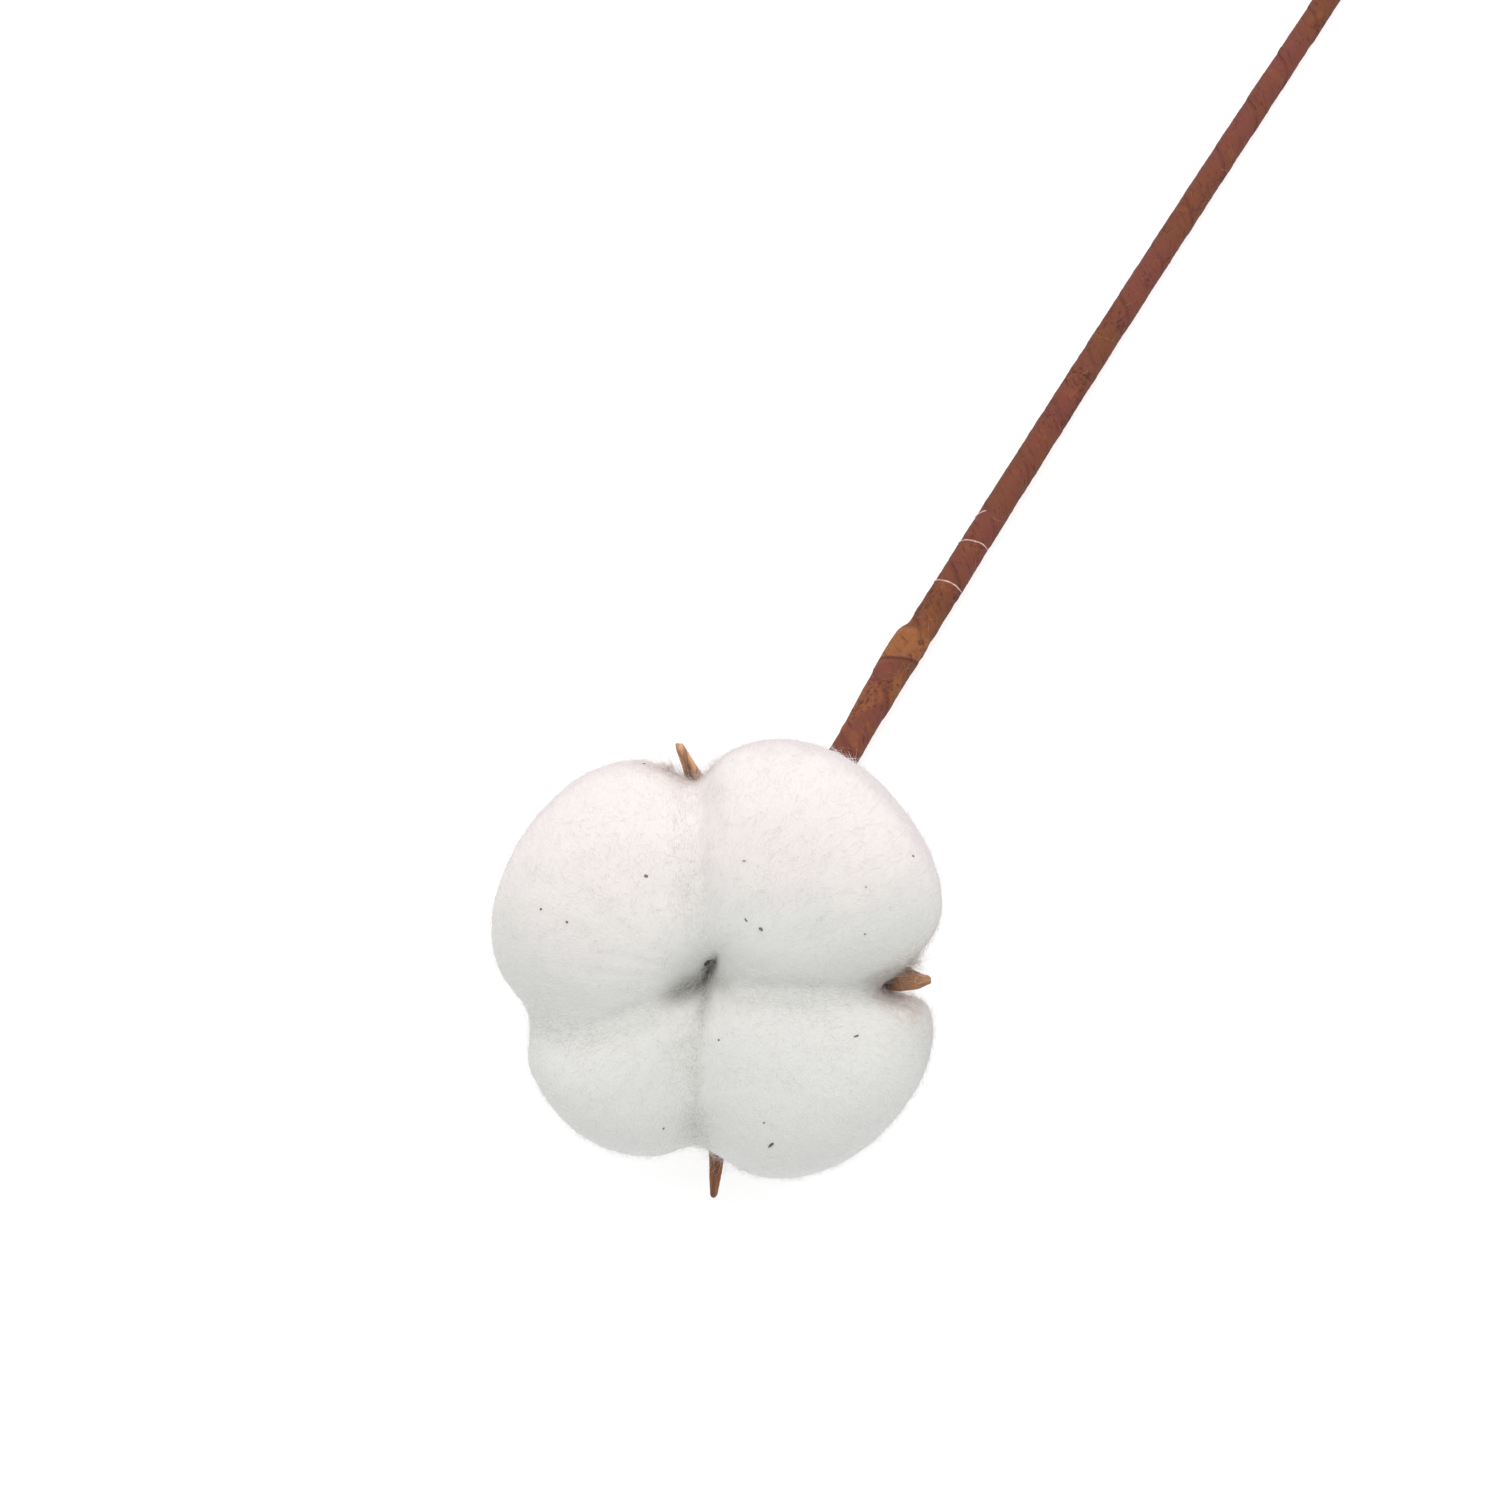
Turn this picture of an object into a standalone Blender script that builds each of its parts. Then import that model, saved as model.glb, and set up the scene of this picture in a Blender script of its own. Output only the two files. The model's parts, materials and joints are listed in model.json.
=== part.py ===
"""A dried cotton boll on its paper-wrapped stem, lying on a table. Metres, +Z up.

The stem lies along +Y. The boll leans away from it: its own axis points up and towards -Y, so that the open
face with the four locks of cotton looks up. It rests on its two lower locks, each with a small flat spot, and
the stem lies on the table behind it. The origin is on the flat spot under the lower right lock.
"""

import math

import bmesh
import bpy
import numpy as np
from mathutils import Matrix, Vector
from mathutils.bvhtree import BVHTree

# The boll's own frame: its centre, its lean and the turn of the locks about its axis. In that frame +Z
# runs out of the open face, and angles are counted round it from +X, as the face is seen.
BOLL_CENTRE = Vector((-0.0160, 0.0016, 0.0230))
BOLL_LEAN = math.radians(28.8)
BOLL_LEAN_TURN = math.radians(19.8)
STEM_SIDE_ANGLE = math.radians(55.7)

# Grooves between the locks, by their angle on the open face. A point of the burr shows in each.
GROOVE_RIGHT, GROOVE_TOP, GROOVE_LEFT, GROOVE_BOTTOM = -3.0, 94.0, 196.0, 266.0
FULL_TURN = 360.0

# How each groove bows sideways halfway out, as a shift in metres, anticlockwise.
GROOVE_BOW = {GROOVE_RIGHT: -0.0016, GROOVE_TOP: 0.0004, GROOVE_LEFT: 0.0026, GROOVE_BOTTOM: -0.0024}
BOW_SPREAD = math.radians(34.0)
BOW_REACH = 0.0250
BOW_FADES = (-0.0080, 0.0020)

# The locks of cotton, with the gap between two of them and how their shape is blended from its limits
LOCK_GAP = 0.00012
LOCK_FULLNESS = 2.25
LOCK_SOFTNESS = 9.0
LOCK_SEAT_SHARE = 0.50
LOCK_INNER_SWELL = 2.4
LOCK_CUTS = 11
LOCK_SMOOTHING = 3
LUMP_SHARE = 0.022

# The burr: four woody valves that grew as one cup, with the stalk
VALVE_THICKNESS = 0.0009
VALVE_CUPPING = 0.17
VALVE_KEEL = 0.0005
VALVE_KEEL_WIDTH = 0.0013
VALVE_BROAD = 0.0035
VALVE_TIP_HALF_WIDTH = 0.0003
VALVE_STEPS_ALONG, VALVE_STEPS_ACROSS = 14, 6
VALVE_START, VALVE_NOTCH = 0.06, 0.34
BURR_BASE = -0.0150
BURR_BASE_BULGE = (0.0140, -0.0178)
RECEPTACLE_PROFILE = (
    (0.0000, -0.0140),
    (0.0030, -0.0142),
    (0.0058, -0.0151),
    (0.0050, -0.0168),
    (0.0034, -0.0177),
    (0.0022, -0.0184),
    (0.0000, -0.0184),
)
RECEPTACLE_SIDES = 16

# How the cotton sits in the burr: clear of it, and swelling past it beside each valve
COTTON_CLEARANCE = 0.00030
BULGE_FROM, BULGE_SLOPE = 0.0002, 2.4
WHOLE_CUP_END = 1.25
GIVE_WAY_STEPS, GIVE_WAY_SHARE = 60, 0.02

# The stem: the stalk bends down from the burr, and the wire goes on inside the paper
STALK_RADIUS = 0.0014
STALK_END = 0.0512
WIRE_RADIUS = 0.0008
WIRE_START = 0.0527
WIRE_STANDS_OUT = 0.0012
NECK_START = 0.0184
NECK_PULL = 0.0052
NECK_LANDING = (-0.0198, 0.0265)
STEM_END_Y = 0.2015
STEM_SWAY = -0.0007
LIFT_OFF = 0.20
STEM_SIDES = 12
WIRE_SIDES = 8

# How closely the stem's rings stand: each run ends at a distance from the burr, at steps of its own
STEM_RUNS = ((0.0340, 0.0020), (0.0512, 0.0043), (0.0585, 0.0015), (0.2400, 0.0065))

# The paper's outer radius along the stem, by distance from the burr
PAPER_RADIUS = (
    (0.000, 0.00300),
    (0.004, 0.00240),
    (0.020, 0.00215),
    (0.038, 0.00215),
    (0.046, 0.00235),
    (0.0522, 0.00255),
    (0.0536, 0.00250),
    (0.0566, 0.00200),
    (0.120, 0.00192),
    (0.240, 0.00176),
)
PAPER_THICKEST = 0.00255
PAPER_BORE = ((0.000, 0.00180), (0.0514, 0.00180), (0.0522, 0.00112), (0.240, 0.00112))

# The thick end of the stalk stands out to one side: the line's shift across, by distance from the burr
STALK_SIDE = ((0.034, 0.0), (0.050, -0.0004), (0.0536, -0.0004), (0.0566, 0.0))

COTTON_WHITE = (0.86, 0.84, 0.81, 1.0)
BURR_BROWN = (0.30, 0.14, 0.07, 1.0)
PAPER_BROWN = (0.22, 0.075, 0.045, 1.0)
WIRE_GREY = (0.42, 0.41, 0.39, 1.0)


class Lock:
    """One lock of cotton: the sector of the boll that it fills and how far it swells each way."""

    def __init__(self, name, first, last, reach, round_to, width, front, back, seat, lean):
        self.name = name
        self.first = math.radians(first)
        self.last = math.radians(last)
        self.reach = reach
        self.round_to = round_to
        self.width = width
        self.front = front
        self.back = back
        self.seat = seat
        self.lean = lean

    @property
    def middle(self):
        """The angle halfway between the lock's two grooves."""
        return (self.first + self.last) / 2

    @property
    def centre(self):
        """The middle of the lock's fullest part, in the boll's frame."""
        out = self.reach * LOCK_SEAT_SHARE
        return Vector((math.cos(self.middle) * out, math.sin(self.middle) * out, self.seat))

    @property
    def depth(self):
        """How far the lock swells outwards from its centre."""
        return self.reach * (1 - LOCK_SEAT_SHARE)


# Reach is how far out the lock swells from the boll's axis, and round_to is the radius of the round outline
# that it keeps to. Then come its half width, its swell to the front and to the back, and how far forward of
# the boll's centre its own centre sits. Lean is how far its back is drawn in to the axis.
LOCKS = (
    Lock("lock_upper_right", GROOVE_RIGHT, GROOVE_TOP,
         0.0322, 0.0325, 0.0200, 0.0160, 0.0170, 0.0012, 0.24),
    Lock("lock_upper_left", GROOVE_TOP, GROOVE_LEFT,
         0.0302, 0.0303, 0.0186, 0.0152, 0.0176, 0.0004, 0.16),
    Lock("lock_lower_left", GROOVE_LEFT, GROOVE_BOTTOM,
         0.0294, 0.0287, 0.0150, 0.0148, 0.0202, -0.0006, 0.10),
    Lock("lock_lower_right", GROOVE_BOTTOM, FULL_TURN + GROOVE_RIGHT,
         0.0316, 0.0317, 0.0184, 0.0158, 0.0208, -0.0010, 0.10),
)


class Valve:
    """One valve of the burr: the groove that it stands in, its own angle and where its point ends.

    The point has a half width of its own, and turns aside from the valve by some degrees.
    """

    def __init__(self, groove, before, after, angle, point, shoulder, point_half_width, turn=0.0):
        self.angle = math.radians(angle)
        self.half_before = math.radians((groove - before) / 2 + angle - groove)
        self.half_after = math.radians((after - groove) / 2 - angle + groove)
        self.point = point
        self.shoulder = shoulder
        self.point_half_width = point_half_width
        self.turn = math.radians(turn)


# A point is its distance from the boll's axis and its height; the shoulder bends the valve towards it.
VALVES = (
    Valve(GROOVE_RIGHT, GROOVE_BOTTOM - FULL_TURN, GROOVE_TOP, -3.0,
          (0.0275, 0.0070), (0.0212, -0.0040), 0.00105),
    Valve(GROOVE_TOP, GROOVE_RIGHT, GROOVE_LEFT, 95.0,
          (0.0278, 0.0012), (0.0200, -0.0058), 0.00066, 2.6),
    Valve(GROOVE_LEFT, GROOVE_TOP, GROOVE_BOTTOM, 196.0,
          (0.0258, -0.0072), (0.0186, -0.0092), 0.00070),
    Valve(GROOVE_BOTTOM, GROOVE_LEFT, FULL_TURN + GROOVE_RIGHT, 267.0,
          (0.0315, -0.0006), (0.0210, -0.0062), 0.00085),
)


def boll_matrix():
    """The boll's own frame in the part's frame."""
    level = Vector((math.sin(BOLL_LEAN_TURN), -math.cos(BOLL_LEAN_TURN), 0.0))
    axis_z = level * math.sin(BOLL_LEAN) + Vector((0.0, 0.0, math.cos(BOLL_LEAN)))
    stem_side = Vector((0.0, 1.0, 0.0))
    stem_side = (stem_side - axis_z * stem_side.dot(axis_z)).normalized()
    axis_x = Matrix.Rotation(-STEM_SIDE_ANGLE, 3, axis_z) @ stem_side
    axis_y = axis_z.cross(axis_x)
    turn = Matrix((axis_x, axis_y, axis_z)).transposed()
    return Matrix.Translation(BOLL_CENTRE) @ turn.to_4x4()


def clear_scene():
    """Empties the scene."""
    for obj in list(bpy.data.objects):
        bpy.data.objects.remove(obj, do_unlink=True)


def finish(name, colour, roughness, metallic=0.0):
    """A plain material of that colour."""
    material = bpy.data.materials.new(name)
    material.use_nodes = True
    shader = material.node_tree.nodes["Principled BSDF"]
    shader.inputs["Base Color"].default_value = colour
    shader.inputs["Roughness"].default_value = roughness
    shader.inputs["Metallic"].default_value = metallic
    return material


def add_object(name, bm, material=None, smooth_below=50.0):
    """Turns the shape in bm into an object, shaded smooth across edges flatter than smooth_below degrees."""
    bmesh.ops.recalc_face_normals(bm, faces=bm.faces)
    mesh = bpy.data.meshes.new(name)
    bm.to_mesh(mesh)
    bm.free()
    mesh.shade_smooth()
    mesh.set_sharp_from_angle(angle=math.radians(smooth_below))
    obj = bpy.data.objects.new(name, mesh)
    if material is not None:
        obj.data.materials.append(material)
    bpy.context.scene.collection.objects.link(obj)
    return obj


def settle_modifiers(obj):
    """Replaces obj's mesh by the one that its modifiers make."""
    graph = bpy.context.evaluated_depsgraph_get()
    mesh = bpy.data.meshes.new_from_object(obj.evaluated_get(graph))
    obj.modifiers.clear()
    obj.data = mesh
    return obj


def drop(obj):
    """Removes a helper."""
    bpy.data.objects.remove(obj, do_unlink=True)


def lumps(direction, lock):
    """The soft unevenness of a lock in that direction, from -1 to 1."""
    x, y, z = direction
    turn = lock.middle
    wide = math.sin(2.1 * x + 3.0 * y + turn) * math.cos(2.6 * z - turn)
    small = math.sin(4.3 * y - 3.1 * z + 2.0 * turn) * math.cos(3.7 * x + turn)
    return 0.65 * wide + 0.35 * small


def lock_distance(direction, lock, walls, cup):
    """How far the lock's surface is from its centre.

    It is a full ellipsoid, pressed flat against its two neighbours, kept within the boll's round outline and
    seated in the burr.
    """
    centre = lock.centre
    outward = Vector((math.cos(lock.middle), math.sin(lock.middle), 0.0))
    along = Vector((-outward.y, outward.x, 0.0))
    radial = direction.dot(outward) - lock.lean * direction.z
    sizes = (
        abs(radial) / (lock.depth if radial > 0 else centre.xy.length * LOCK_INNER_SWELL),
        abs(direction.dot(along)) / lock.width,
        abs(direction.z) / (lock.front if direction.z > 0 else lock.back),
    )
    swell = sum(size**LOCK_FULLNESS for size in sizes) ** (1 / LOCK_FULLNESS)
    flat = direction.xy.length
    rounded = 0.0
    if flat > 1e-6:
        inward = centre.xy.dot(direction.xy) / flat
        to_outline = math.sqrt(lock.round_to**2 - centre.xy.length_squared + inward**2) - inward
        rounded = flat / to_outline
    pressed = sum((max(0.0, direction.dot(normal)) / gap) ** LOCK_SOFTNESS for normal, gap in walls)
    seated = room_before_burr(centre, direction, cup) ** -LOCK_SOFTNESS
    total = swell**LOCK_SOFTNESS + rounded**LOCK_SOFTNESS + pressed + seated
    return (1 + LUMP_SHARE * lumps(direction, lock)) * total ** (-1 / LOCK_SOFTNESS)


def room_before_burr(centre, direction, cup):
    """How far the cotton can swell that way before it meets the burr.

    Beside a valve it swells past it, the more so the further from the valve's edge.
    """
    place, normal, _, to_cup = cup.ray_cast(centre, direction)
    if place is None:
        return 1.0
    angle = math.atan2(place.y, place.x)
    index = min(range(len(VALVES)), key=lambda i: abs(math.remainder(angle - VALVES[i].angle, math.tau)))
    valve = VALVES[index]
    here = Vector((place.xy.length, place.z))
    t = min((i / 40 for i in range(51)), key=lambda t: (valve_profile(valve, t) - here).length)
    beside = abs(math.remainder(angle - valve.angle, math.tau)) * here.x - valve_half_width(valve, t)
    kept = (VALVE_THICKNESS / 2 + 2 * COTTON_CLEARANCE) / max(abs(normal.dot(direction)), 0.35)
    return max(to_cup - kept + max(0.0, beside + BULGE_FROM) * BULGE_SLOPE, 0.002)


def ease(share):
    """A smooth step from 0 to 1."""
    share = min(max(share, 0.0), 1.0)
    return share * share * (3 - 2 * share)


def bow_grooves(point):
    """Shifts a point of the cotton round the boll's axis, so that the grooves bow as real ones do."""
    radius = math.hypot(point.x, point.y)
    angle = math.atan2(point.y, point.x)
    low, high = BOW_FADES
    swing = math.sin(math.pi * min(radius / BOW_REACH, 1.0)) * ease((point.z - low) / (high - low))
    shift = 0.0
    for groove, bow in GROOVE_BOW.items():
        off = math.remainder(angle - math.radians(groove), math.tau)
        shift += bow * swing * math.exp(-((off / BOW_SPREAD) ** 2))
    return point + Vector((-math.sin(angle), math.cos(angle), 0.0)) * shift


def lock_mesh(lock, to_part, cup):
    """The lock's closed surface, flattened where it lies on the table."""
    centre = lock.centre
    walls = []
    for angle, side in ((lock.first, -1.0), (lock.last, 1.0)):
        normal = Vector((-math.sin(angle), math.cos(angle), 0.0)) * side
        walls.append((normal, (-centre.dot(normal) - LOCK_GAP / 2) / (1 + LUMP_SHARE)))
    bm = bmesh.new()
    bmesh.ops.create_cube(bm, size=2.0)
    bmesh.ops.subdivide_edges(bm, edges=bm.edges, cuts=LOCK_CUTS - 1, use_grid_fill=True)
    for vertex in bm.verts:
        # The tangent spaces the cube's rows evenly over the ball.
        direction = Vector([math.tan(value * math.pi / 4) for value in vertex.co]).normalized()
        vertex.co = to_part @ bow_grooves(centre + direction * lock_distance(direction, lock, walls, cup))
    for _ in range(LOCK_SMOOTHING):
        bmesh.ops.smooth_vert(bm, verts=bm.verts, factor=0.5,
                              use_axis_x=True, use_axis_y=True, use_axis_z=True)
    for vertex in bm.verts:
        vertex.co.z = max(vertex.co.z, 0.0)
    bmesh.ops.triangulate(bm, faces=bm.faces)
    return bm


def valve_profile(valve, t):
    """The valve's middle line, as distance from the axis and height, at t from its base to its point."""
    stops = ((0.0, BURR_BASE), BURR_BASE_BULGE, valve.shoulder, valve.point)
    weights = ((1 - t) ** 3, 3 * (1 - t) ** 2 * t, 3 * (1 - t) * t**2, t**3)
    return Vector([sum(w * stop[i] for w, stop in zip(weights, stops, strict=True)) for i in (0, 1)])


def valve_half_width(valve, t):
    """Half the valve's width at t. Up to the notch it is joined to its neighbours and has no edge."""
    if t <= VALVE_NOTCH:
        return 1.0
    free = (min(t, 1.0) - VALVE_NOTCH) / (1.0 - VALVE_NOTCH)
    broadest = (valve.half_before + valve.half_after) / 2 * valve_profile(valve, VALVE_NOTCH).x
    blade = broadest * (1 - free**1.5) ** 3.6
    point = valve.point_half_width * math.sqrt(1 - free**8)
    return max(blade + point, VALVE_TIP_HALF_WIDTH)


def valve_point(index, t, u, whole=False):
    """A point of the middle sheet of a valve, u from -1 to 1 across it.

    Up to the notch the valves are one cup, so their edges meet halfway between them; past it each narrows
    to its own point. A whole cup has no notches.
    """
    valve = VALVES[index]
    after = u > 0
    beside = VALVES[(index + (1 if after else -1)) % len(VALVES)]
    own = valve_profile(valve, t)
    free = max(0.0, (min(t, 1.0) - VALVE_NOTCH) / (1.0 - VALVE_NOTCH))
    joined = 1.0 if whole else 1.0 - ease((t - VALVE_NOTCH) / 0.22)
    place = own.lerp(valve_profile(beside, t), 0.5 * u * u * joined)
    step = valve_profile(valve, t + 0.01) - valve_profile(valve, t - 0.01)
    inward = Vector((-step.y, step.x)).normalized()
    limit = valve.half_after if after else valve.half_before
    half = valve_half_width(valve, t)
    half_angle = limit if whole else min(limit, half / own.x)
    off_middle = u * half_angle * own.x
    if not whole:
        broad = min(1.0, half / VALVE_BROAD)
        cupped = VALVE_CUPPING * half_angle * own.x * u * u * broad * ease(free / 0.25)
        keel = VALVE_KEEL * broad * math.exp(-((off_middle / VALVE_KEEL_WIDTH) ** 2)) * math.sin(math.pi * t)
        place = place + inward * (cupped - keel)
    angle = valve.angle + u * half_angle + (0.0 if whole else valve.turn * free**2)
    return Vector((place.x * math.cos(angle), place.x * math.sin(angle), place.y))


def burr_sheet(whole=False):
    """The four valves as one thin sheet in the boll's frame, joined round the base."""
    bm = bmesh.new()
    end = WHOLE_CUP_END if whole else 1.0
    notch_row = round((VALVE_NOTCH - VALVE_START) / (end - VALVE_START) * VALVE_STEPS_ALONG)
    stops = [VALVE_START + (VALVE_NOTCH - VALVE_START) * i / notch_row for i in range(notch_row)]
    rest = VALVE_STEPS_ALONG - notch_row
    stops += [VALVE_NOTCH + (end - VALVE_NOTCH) * i / rest for i in range(rest + 1)]
    across = [2 * j / VALVE_STEPS_ACROSS - 1 for j in range(VALVE_STEPS_ACROSS + 1)]
    for index in range(len(VALVES)):
        rows = [[bm.verts.new(valve_point(index, t, u, whole)) for u in across] for t in stops]
        for low, high in zip(rows, rows[1:]):
            for j in range(VALVE_STEPS_ACROSS):
                bm.faces.new((low[j], low[j + 1], high[j + 1], high[j]))
    bmesh.ops.remove_doubles(bm, verts=bm.verts, dist=1e-6)
    return bm


def receptacle(grow=0.0):
    """The turned boss under the burr, in the boll's frame."""
    bm = bmesh.new()
    profile = [bm.verts.new((x + (grow if x else 0.0), 0.0, z - (grow if z < -0.016 else 0.0)))
               for x, z in RECEPTACLE_PROFILE]
    edges = [bm.edges.new(pair) for pair in zip(profile, profile[1:])]
    bmesh.ops.spin(bm, geom=[*profile, *edges], axis=(0, 0, 1), cent=(0, 0, 0),
                   steps=RECEPTACLE_SIDES, angle=math.tau, use_merge=False)
    bmesh.ops.remove_doubles(bm, verts=bm.verts, dist=1e-6)
    return bm


def rounded_line(stops, distance):
    """The value of a profile given as (distance, value) stops, eased from stop to stop."""
    for (a, low), (b, high) in zip(stops, stops[1:]):
        if distance <= b:
            return low + (high - low) * ease((distance - a) / (b - a))
    return stops[-1][1]


def stem_line(to_part):
    """Points along the middle of the stem, each with its distance from the burr.

    It leaves the burr along the boll's axis, bends down to the table and runs to its end along +Y.
    """
    axis = (to_part.to_3x3() @ Vector((0.0, 0.0, 1.0))).normalized()
    start = to_part @ Vector((0.0, 0.0, -NECK_START))
    low_facet = math.cos(math.pi / STEM_SIDES)
    resting = PAPER_THICKEST * low_facet
    landing = Vector((*NECK_LANDING, resting))
    pulls = (start, start - axis * NECK_PULL, landing - Vector((0, NECK_PULL * 2.2, 0)), landing)
    dense = []
    for i in range(61):
        t = i / 60
        weights = ((1 - t) ** 3, 3 * (1 - t) ** 2 * t, 3 * (1 - t) * t**2, t**3)
        dense.append(sum((p * w for p, w in zip(pulls, weights, strict=True)), Vector()))
    run = STEM_END_Y - landing.y
    neck = sum((b - a).length for a, b in zip(dense, dense[1:]))
    end_height = rounded_line(PAPER_RADIUS, neck + run) * low_facet
    for i in range(1, 241):
        share = i / 240
        x = landing.x + STEM_SWAY * math.sin(math.pi * share) + rounded_line(STALK_SIDE, neck + run * share)
        z = resting + (end_height - resting) * max(0.0, (share - LIFT_OFF) / (1 - LIFT_OFF))
        dense.append(Vector((x, landing.y + run * share, z)))
    lengths = np.cumsum([0.0, *((b - a).length for a, b in zip(dense, dense[1:]))])
    distances = [0.0]
    for end, step in STEM_RUNS:
        end = min(end, lengths[-1])
        count = max(1, round((end - distances[-1]) / step))
        distances += [distances[-1] + (end - distances[-1]) * (i + 1) / count for i in range(count)]
    xyz = np.array(dense)
    columns = [np.interp(distances, lengths, xyz[:, k]) for k in range(3)]
    return [(Vector(p), float(d)) for *p, d in zip(*columns, distances, strict=True)]


def ring_of(bm, place, tangent, radius, sides):
    """A ring of vertices round the stem's middle line, with a flat facet at its foot."""
    side = tangent.cross(Vector((0, 0, 1))).normalized()
    up = side.cross(tangent)
    ring = []
    for k in range(sides):
        turn = math.tau * (k + 0.5) / sides
        point = place + side * (math.cos(turn) * radius) + up * (math.sin(turn) * radius)
        point.z = max(point.z, 0.0)
        ring.append(bm.verts.new(point))
    return ring


def bridge(bm, first, second):
    """Quads between two rings."""
    for k in range(len(first)):
        after = (k + 1) % len(first)
        bm.faces.new((first[k], first[after], second[after], second[k]))


def tangents(line):
    """The direction of the stem at each point of its line."""
    places = [p for p, _ in line]
    ahead = [*places[1:], places[-1] + (places[-1] - places[-2])]
    behind = [places[0] - (places[1] - places[0]), *places[:-1]]
    return [(b - a).normalized() for a, b in zip(behind, ahead, strict=True)]


def rod(line, radius_at, sides=STEM_SIDES):
    """A solid rod along the line."""
    bm = bmesh.new()
    rings = [ring_of(bm, place, tangent, radius_at(distance), sides)
             for (place, distance), tangent in zip(line, tangents(line), strict=True)]
    for first, second in zip(rings, rings[1:]):
        bridge(bm, first, second)
    bm.faces.new(rings[0])
    bm.faces.new(rings[-1])
    return bm


def tube(line, outer_at, inner_at):
    """A hollow tube along the line, open at both ends."""
    bm = bmesh.new()
    directions = tangents(line)
    outer = [ring_of(bm, place, tangent, outer_at(distance), STEM_SIDES)
             for (place, distance), tangent in zip(line, directions, strict=True)]
    inner = [ring_of(bm, place, tangent, inner_at(distance), STEM_SIDES)
             for (place, distance), tangent in zip(line, directions, strict=True)]
    for rings in (outer, inner):
        for first, second in zip(rings, rings[1:]):
            bridge(bm, first, second)
    bridge(bm, outer[0], inner[0])
    bridge(bm, outer[-1], inner[-1])
    return bm


def build_burr(line, to_part, material):
    """The burr with its boss and its stalk, grown as one piece."""
    bm = burr_sheet()
    bm.transform(to_part)
    burr = add_object("burr", bm, material)
    shell = burr.modifiers.new("wall", "SOLIDIFY")
    shell.thickness = VALVE_THICKNESS
    shell.offset = 0.0
    boss = receptacle()
    boss.transform(to_part)
    stalk_line = [(place, distance) for place, distance in line if distance <= STALK_END]
    first, second = stalk_line[0][0], stalk_line[1][0]
    sunk = (first + (first - second).normalized() * 0.002, 0.0)
    grown = bpy.data.collections.new("grown_together")
    stalk = rod([sunk, *stalk_line], lambda _: STALK_RADIUS)
    for helper in (add_object("boss", boss), add_object("stalk", stalk)):
        bpy.context.scene.collection.objects.unlink(helper)
        grown.objects.link(helper)
    union = burr.modifiers.new("grown", "BOOLEAN")
    union.operation = "UNION"
    union.operand_type = "COLLECTION"
    union.collection = grown
    settle_modifiers(burr)
    for helper in list(grown.objects):
        drop(helper)
    bpy.data.collections.remove(grown)
    return burr


def join_tree(shapes):
    """One search tree over the faces of several shapes, which it uses up."""
    points, faces = [], []
    for shape in shapes:
        shape.verts.index_update()
        faces += [[len(points) + vertex.index for vertex in face.verts] for face in shape.faces]
        points += [vertex.co.copy() for vertex in shape.verts]
        shape.free()
    return BVHTree.FromPolygons(points, faces)


def give_way(bm, centre, kept_clear):
    """Draws in the cotton wherever it would run through what has to be kept clear of it."""
    for _ in range(GIVE_WAY_STEPS):
        pierced = {index for index, _ in BVHTree.FromBMesh(bm).overlap(kept_clear)}
        if not pierced:
            return
        bm.faces.ensure_lookup_table()
        for vertex in {vertex for index in pierced for vertex in bm.faces[index].verts}:
            vertex.co = vertex.co.lerp(centre, GIVE_WAY_SHARE)


def build_locks(line, to_part, material):
    """The four locks of cotton."""
    cup = join_tree([burr_sheet(whole=True), receptacle()])
    thick = add_object("burr_clearance", burr_sheet())
    shell = thick.modifiers.new("wall", "SOLIDIFY")
    shell.thickness = VALVE_THICKNESS + 2 * COTTON_CLEARANCE
    shell.offset = 0.0
    settle_modifiers(thick)
    valves = bmesh.new()
    valves.from_mesh(thick.data)
    drop(thick)
    valves.transform(to_part)
    boss = receptacle(COTTON_CLEARANCE)
    boss.transform(to_part)
    stem = rod(line, lambda d: rounded_line(PAPER_RADIUS, d) + COTTON_CLEARANCE)
    kept_clear = join_tree([valves, boss, stem])
    for lock in LOCKS:
        bm = lock_mesh(lock, to_part, cup)
        give_way(bm, to_part @ lock.centre, kept_clear)
        add_object(lock.name, bm, material)


def build_stem(line, paper, steel):
    """The paper wound round the stalk and the wire, and the wire inside it."""
    papered = line[1:]
    wrap = tube(papered, lambda d: rounded_line(PAPER_RADIUS, d), lambda d: rounded_line(PAPER_BORE, d))
    add_object("paper_wrap", wrap, paper)
    wired = [(place, distance) for place, distance in line if distance >= WIRE_START]
    last, before = wired[-1][0], wired[-2][0]
    stands_out = last + (last - before).normalized() * WIRE_STANDS_OUT
    wired.append((stands_out, wired[-1][1] + WIRE_STANDS_OUT))
    add_object("stem_wire", rod(wired, lambda _: WIRE_RADIUS, WIRE_SIDES), steel)


def main():
    """Builds the boll on its stem."""
    clear_scene()
    to_part = boll_matrix()
    line = stem_line(to_part)
    build_locks(line, to_part, finish("cotton", COTTON_WHITE, 0.95))
    build_burr(line, to_part, finish("burr", BURR_BROWN, 0.7))
    build_stem(line, finish("paper", PAPER_BROWN, 0.8), finish("wire", WIRE_GREY, 0.45, metallic=1.0))


main()
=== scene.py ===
"""The looks of a dried cotton boll on its paper-wrapped stem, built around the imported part.

Every piece is in metres and in the part's own frame: the stem lies along +Y on the table at z = 0, and the
boll leans away from it with its open face up. The four locks of cotton, the burr and the paper are finer
pieces that stand for the plain solids, and the wire's own solid is dressed.
"""

from __future__ import annotations

import json
import logging
import math
from collections.abc import Mapping, Sequence
from dataclasses import dataclass
from enum import Enum
from typing import Any

import bmesh
import bpy
import numpy as np
from mathutils import Matrix, Vector, noise
from mathutils.bvhtree import BVHTree

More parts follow.
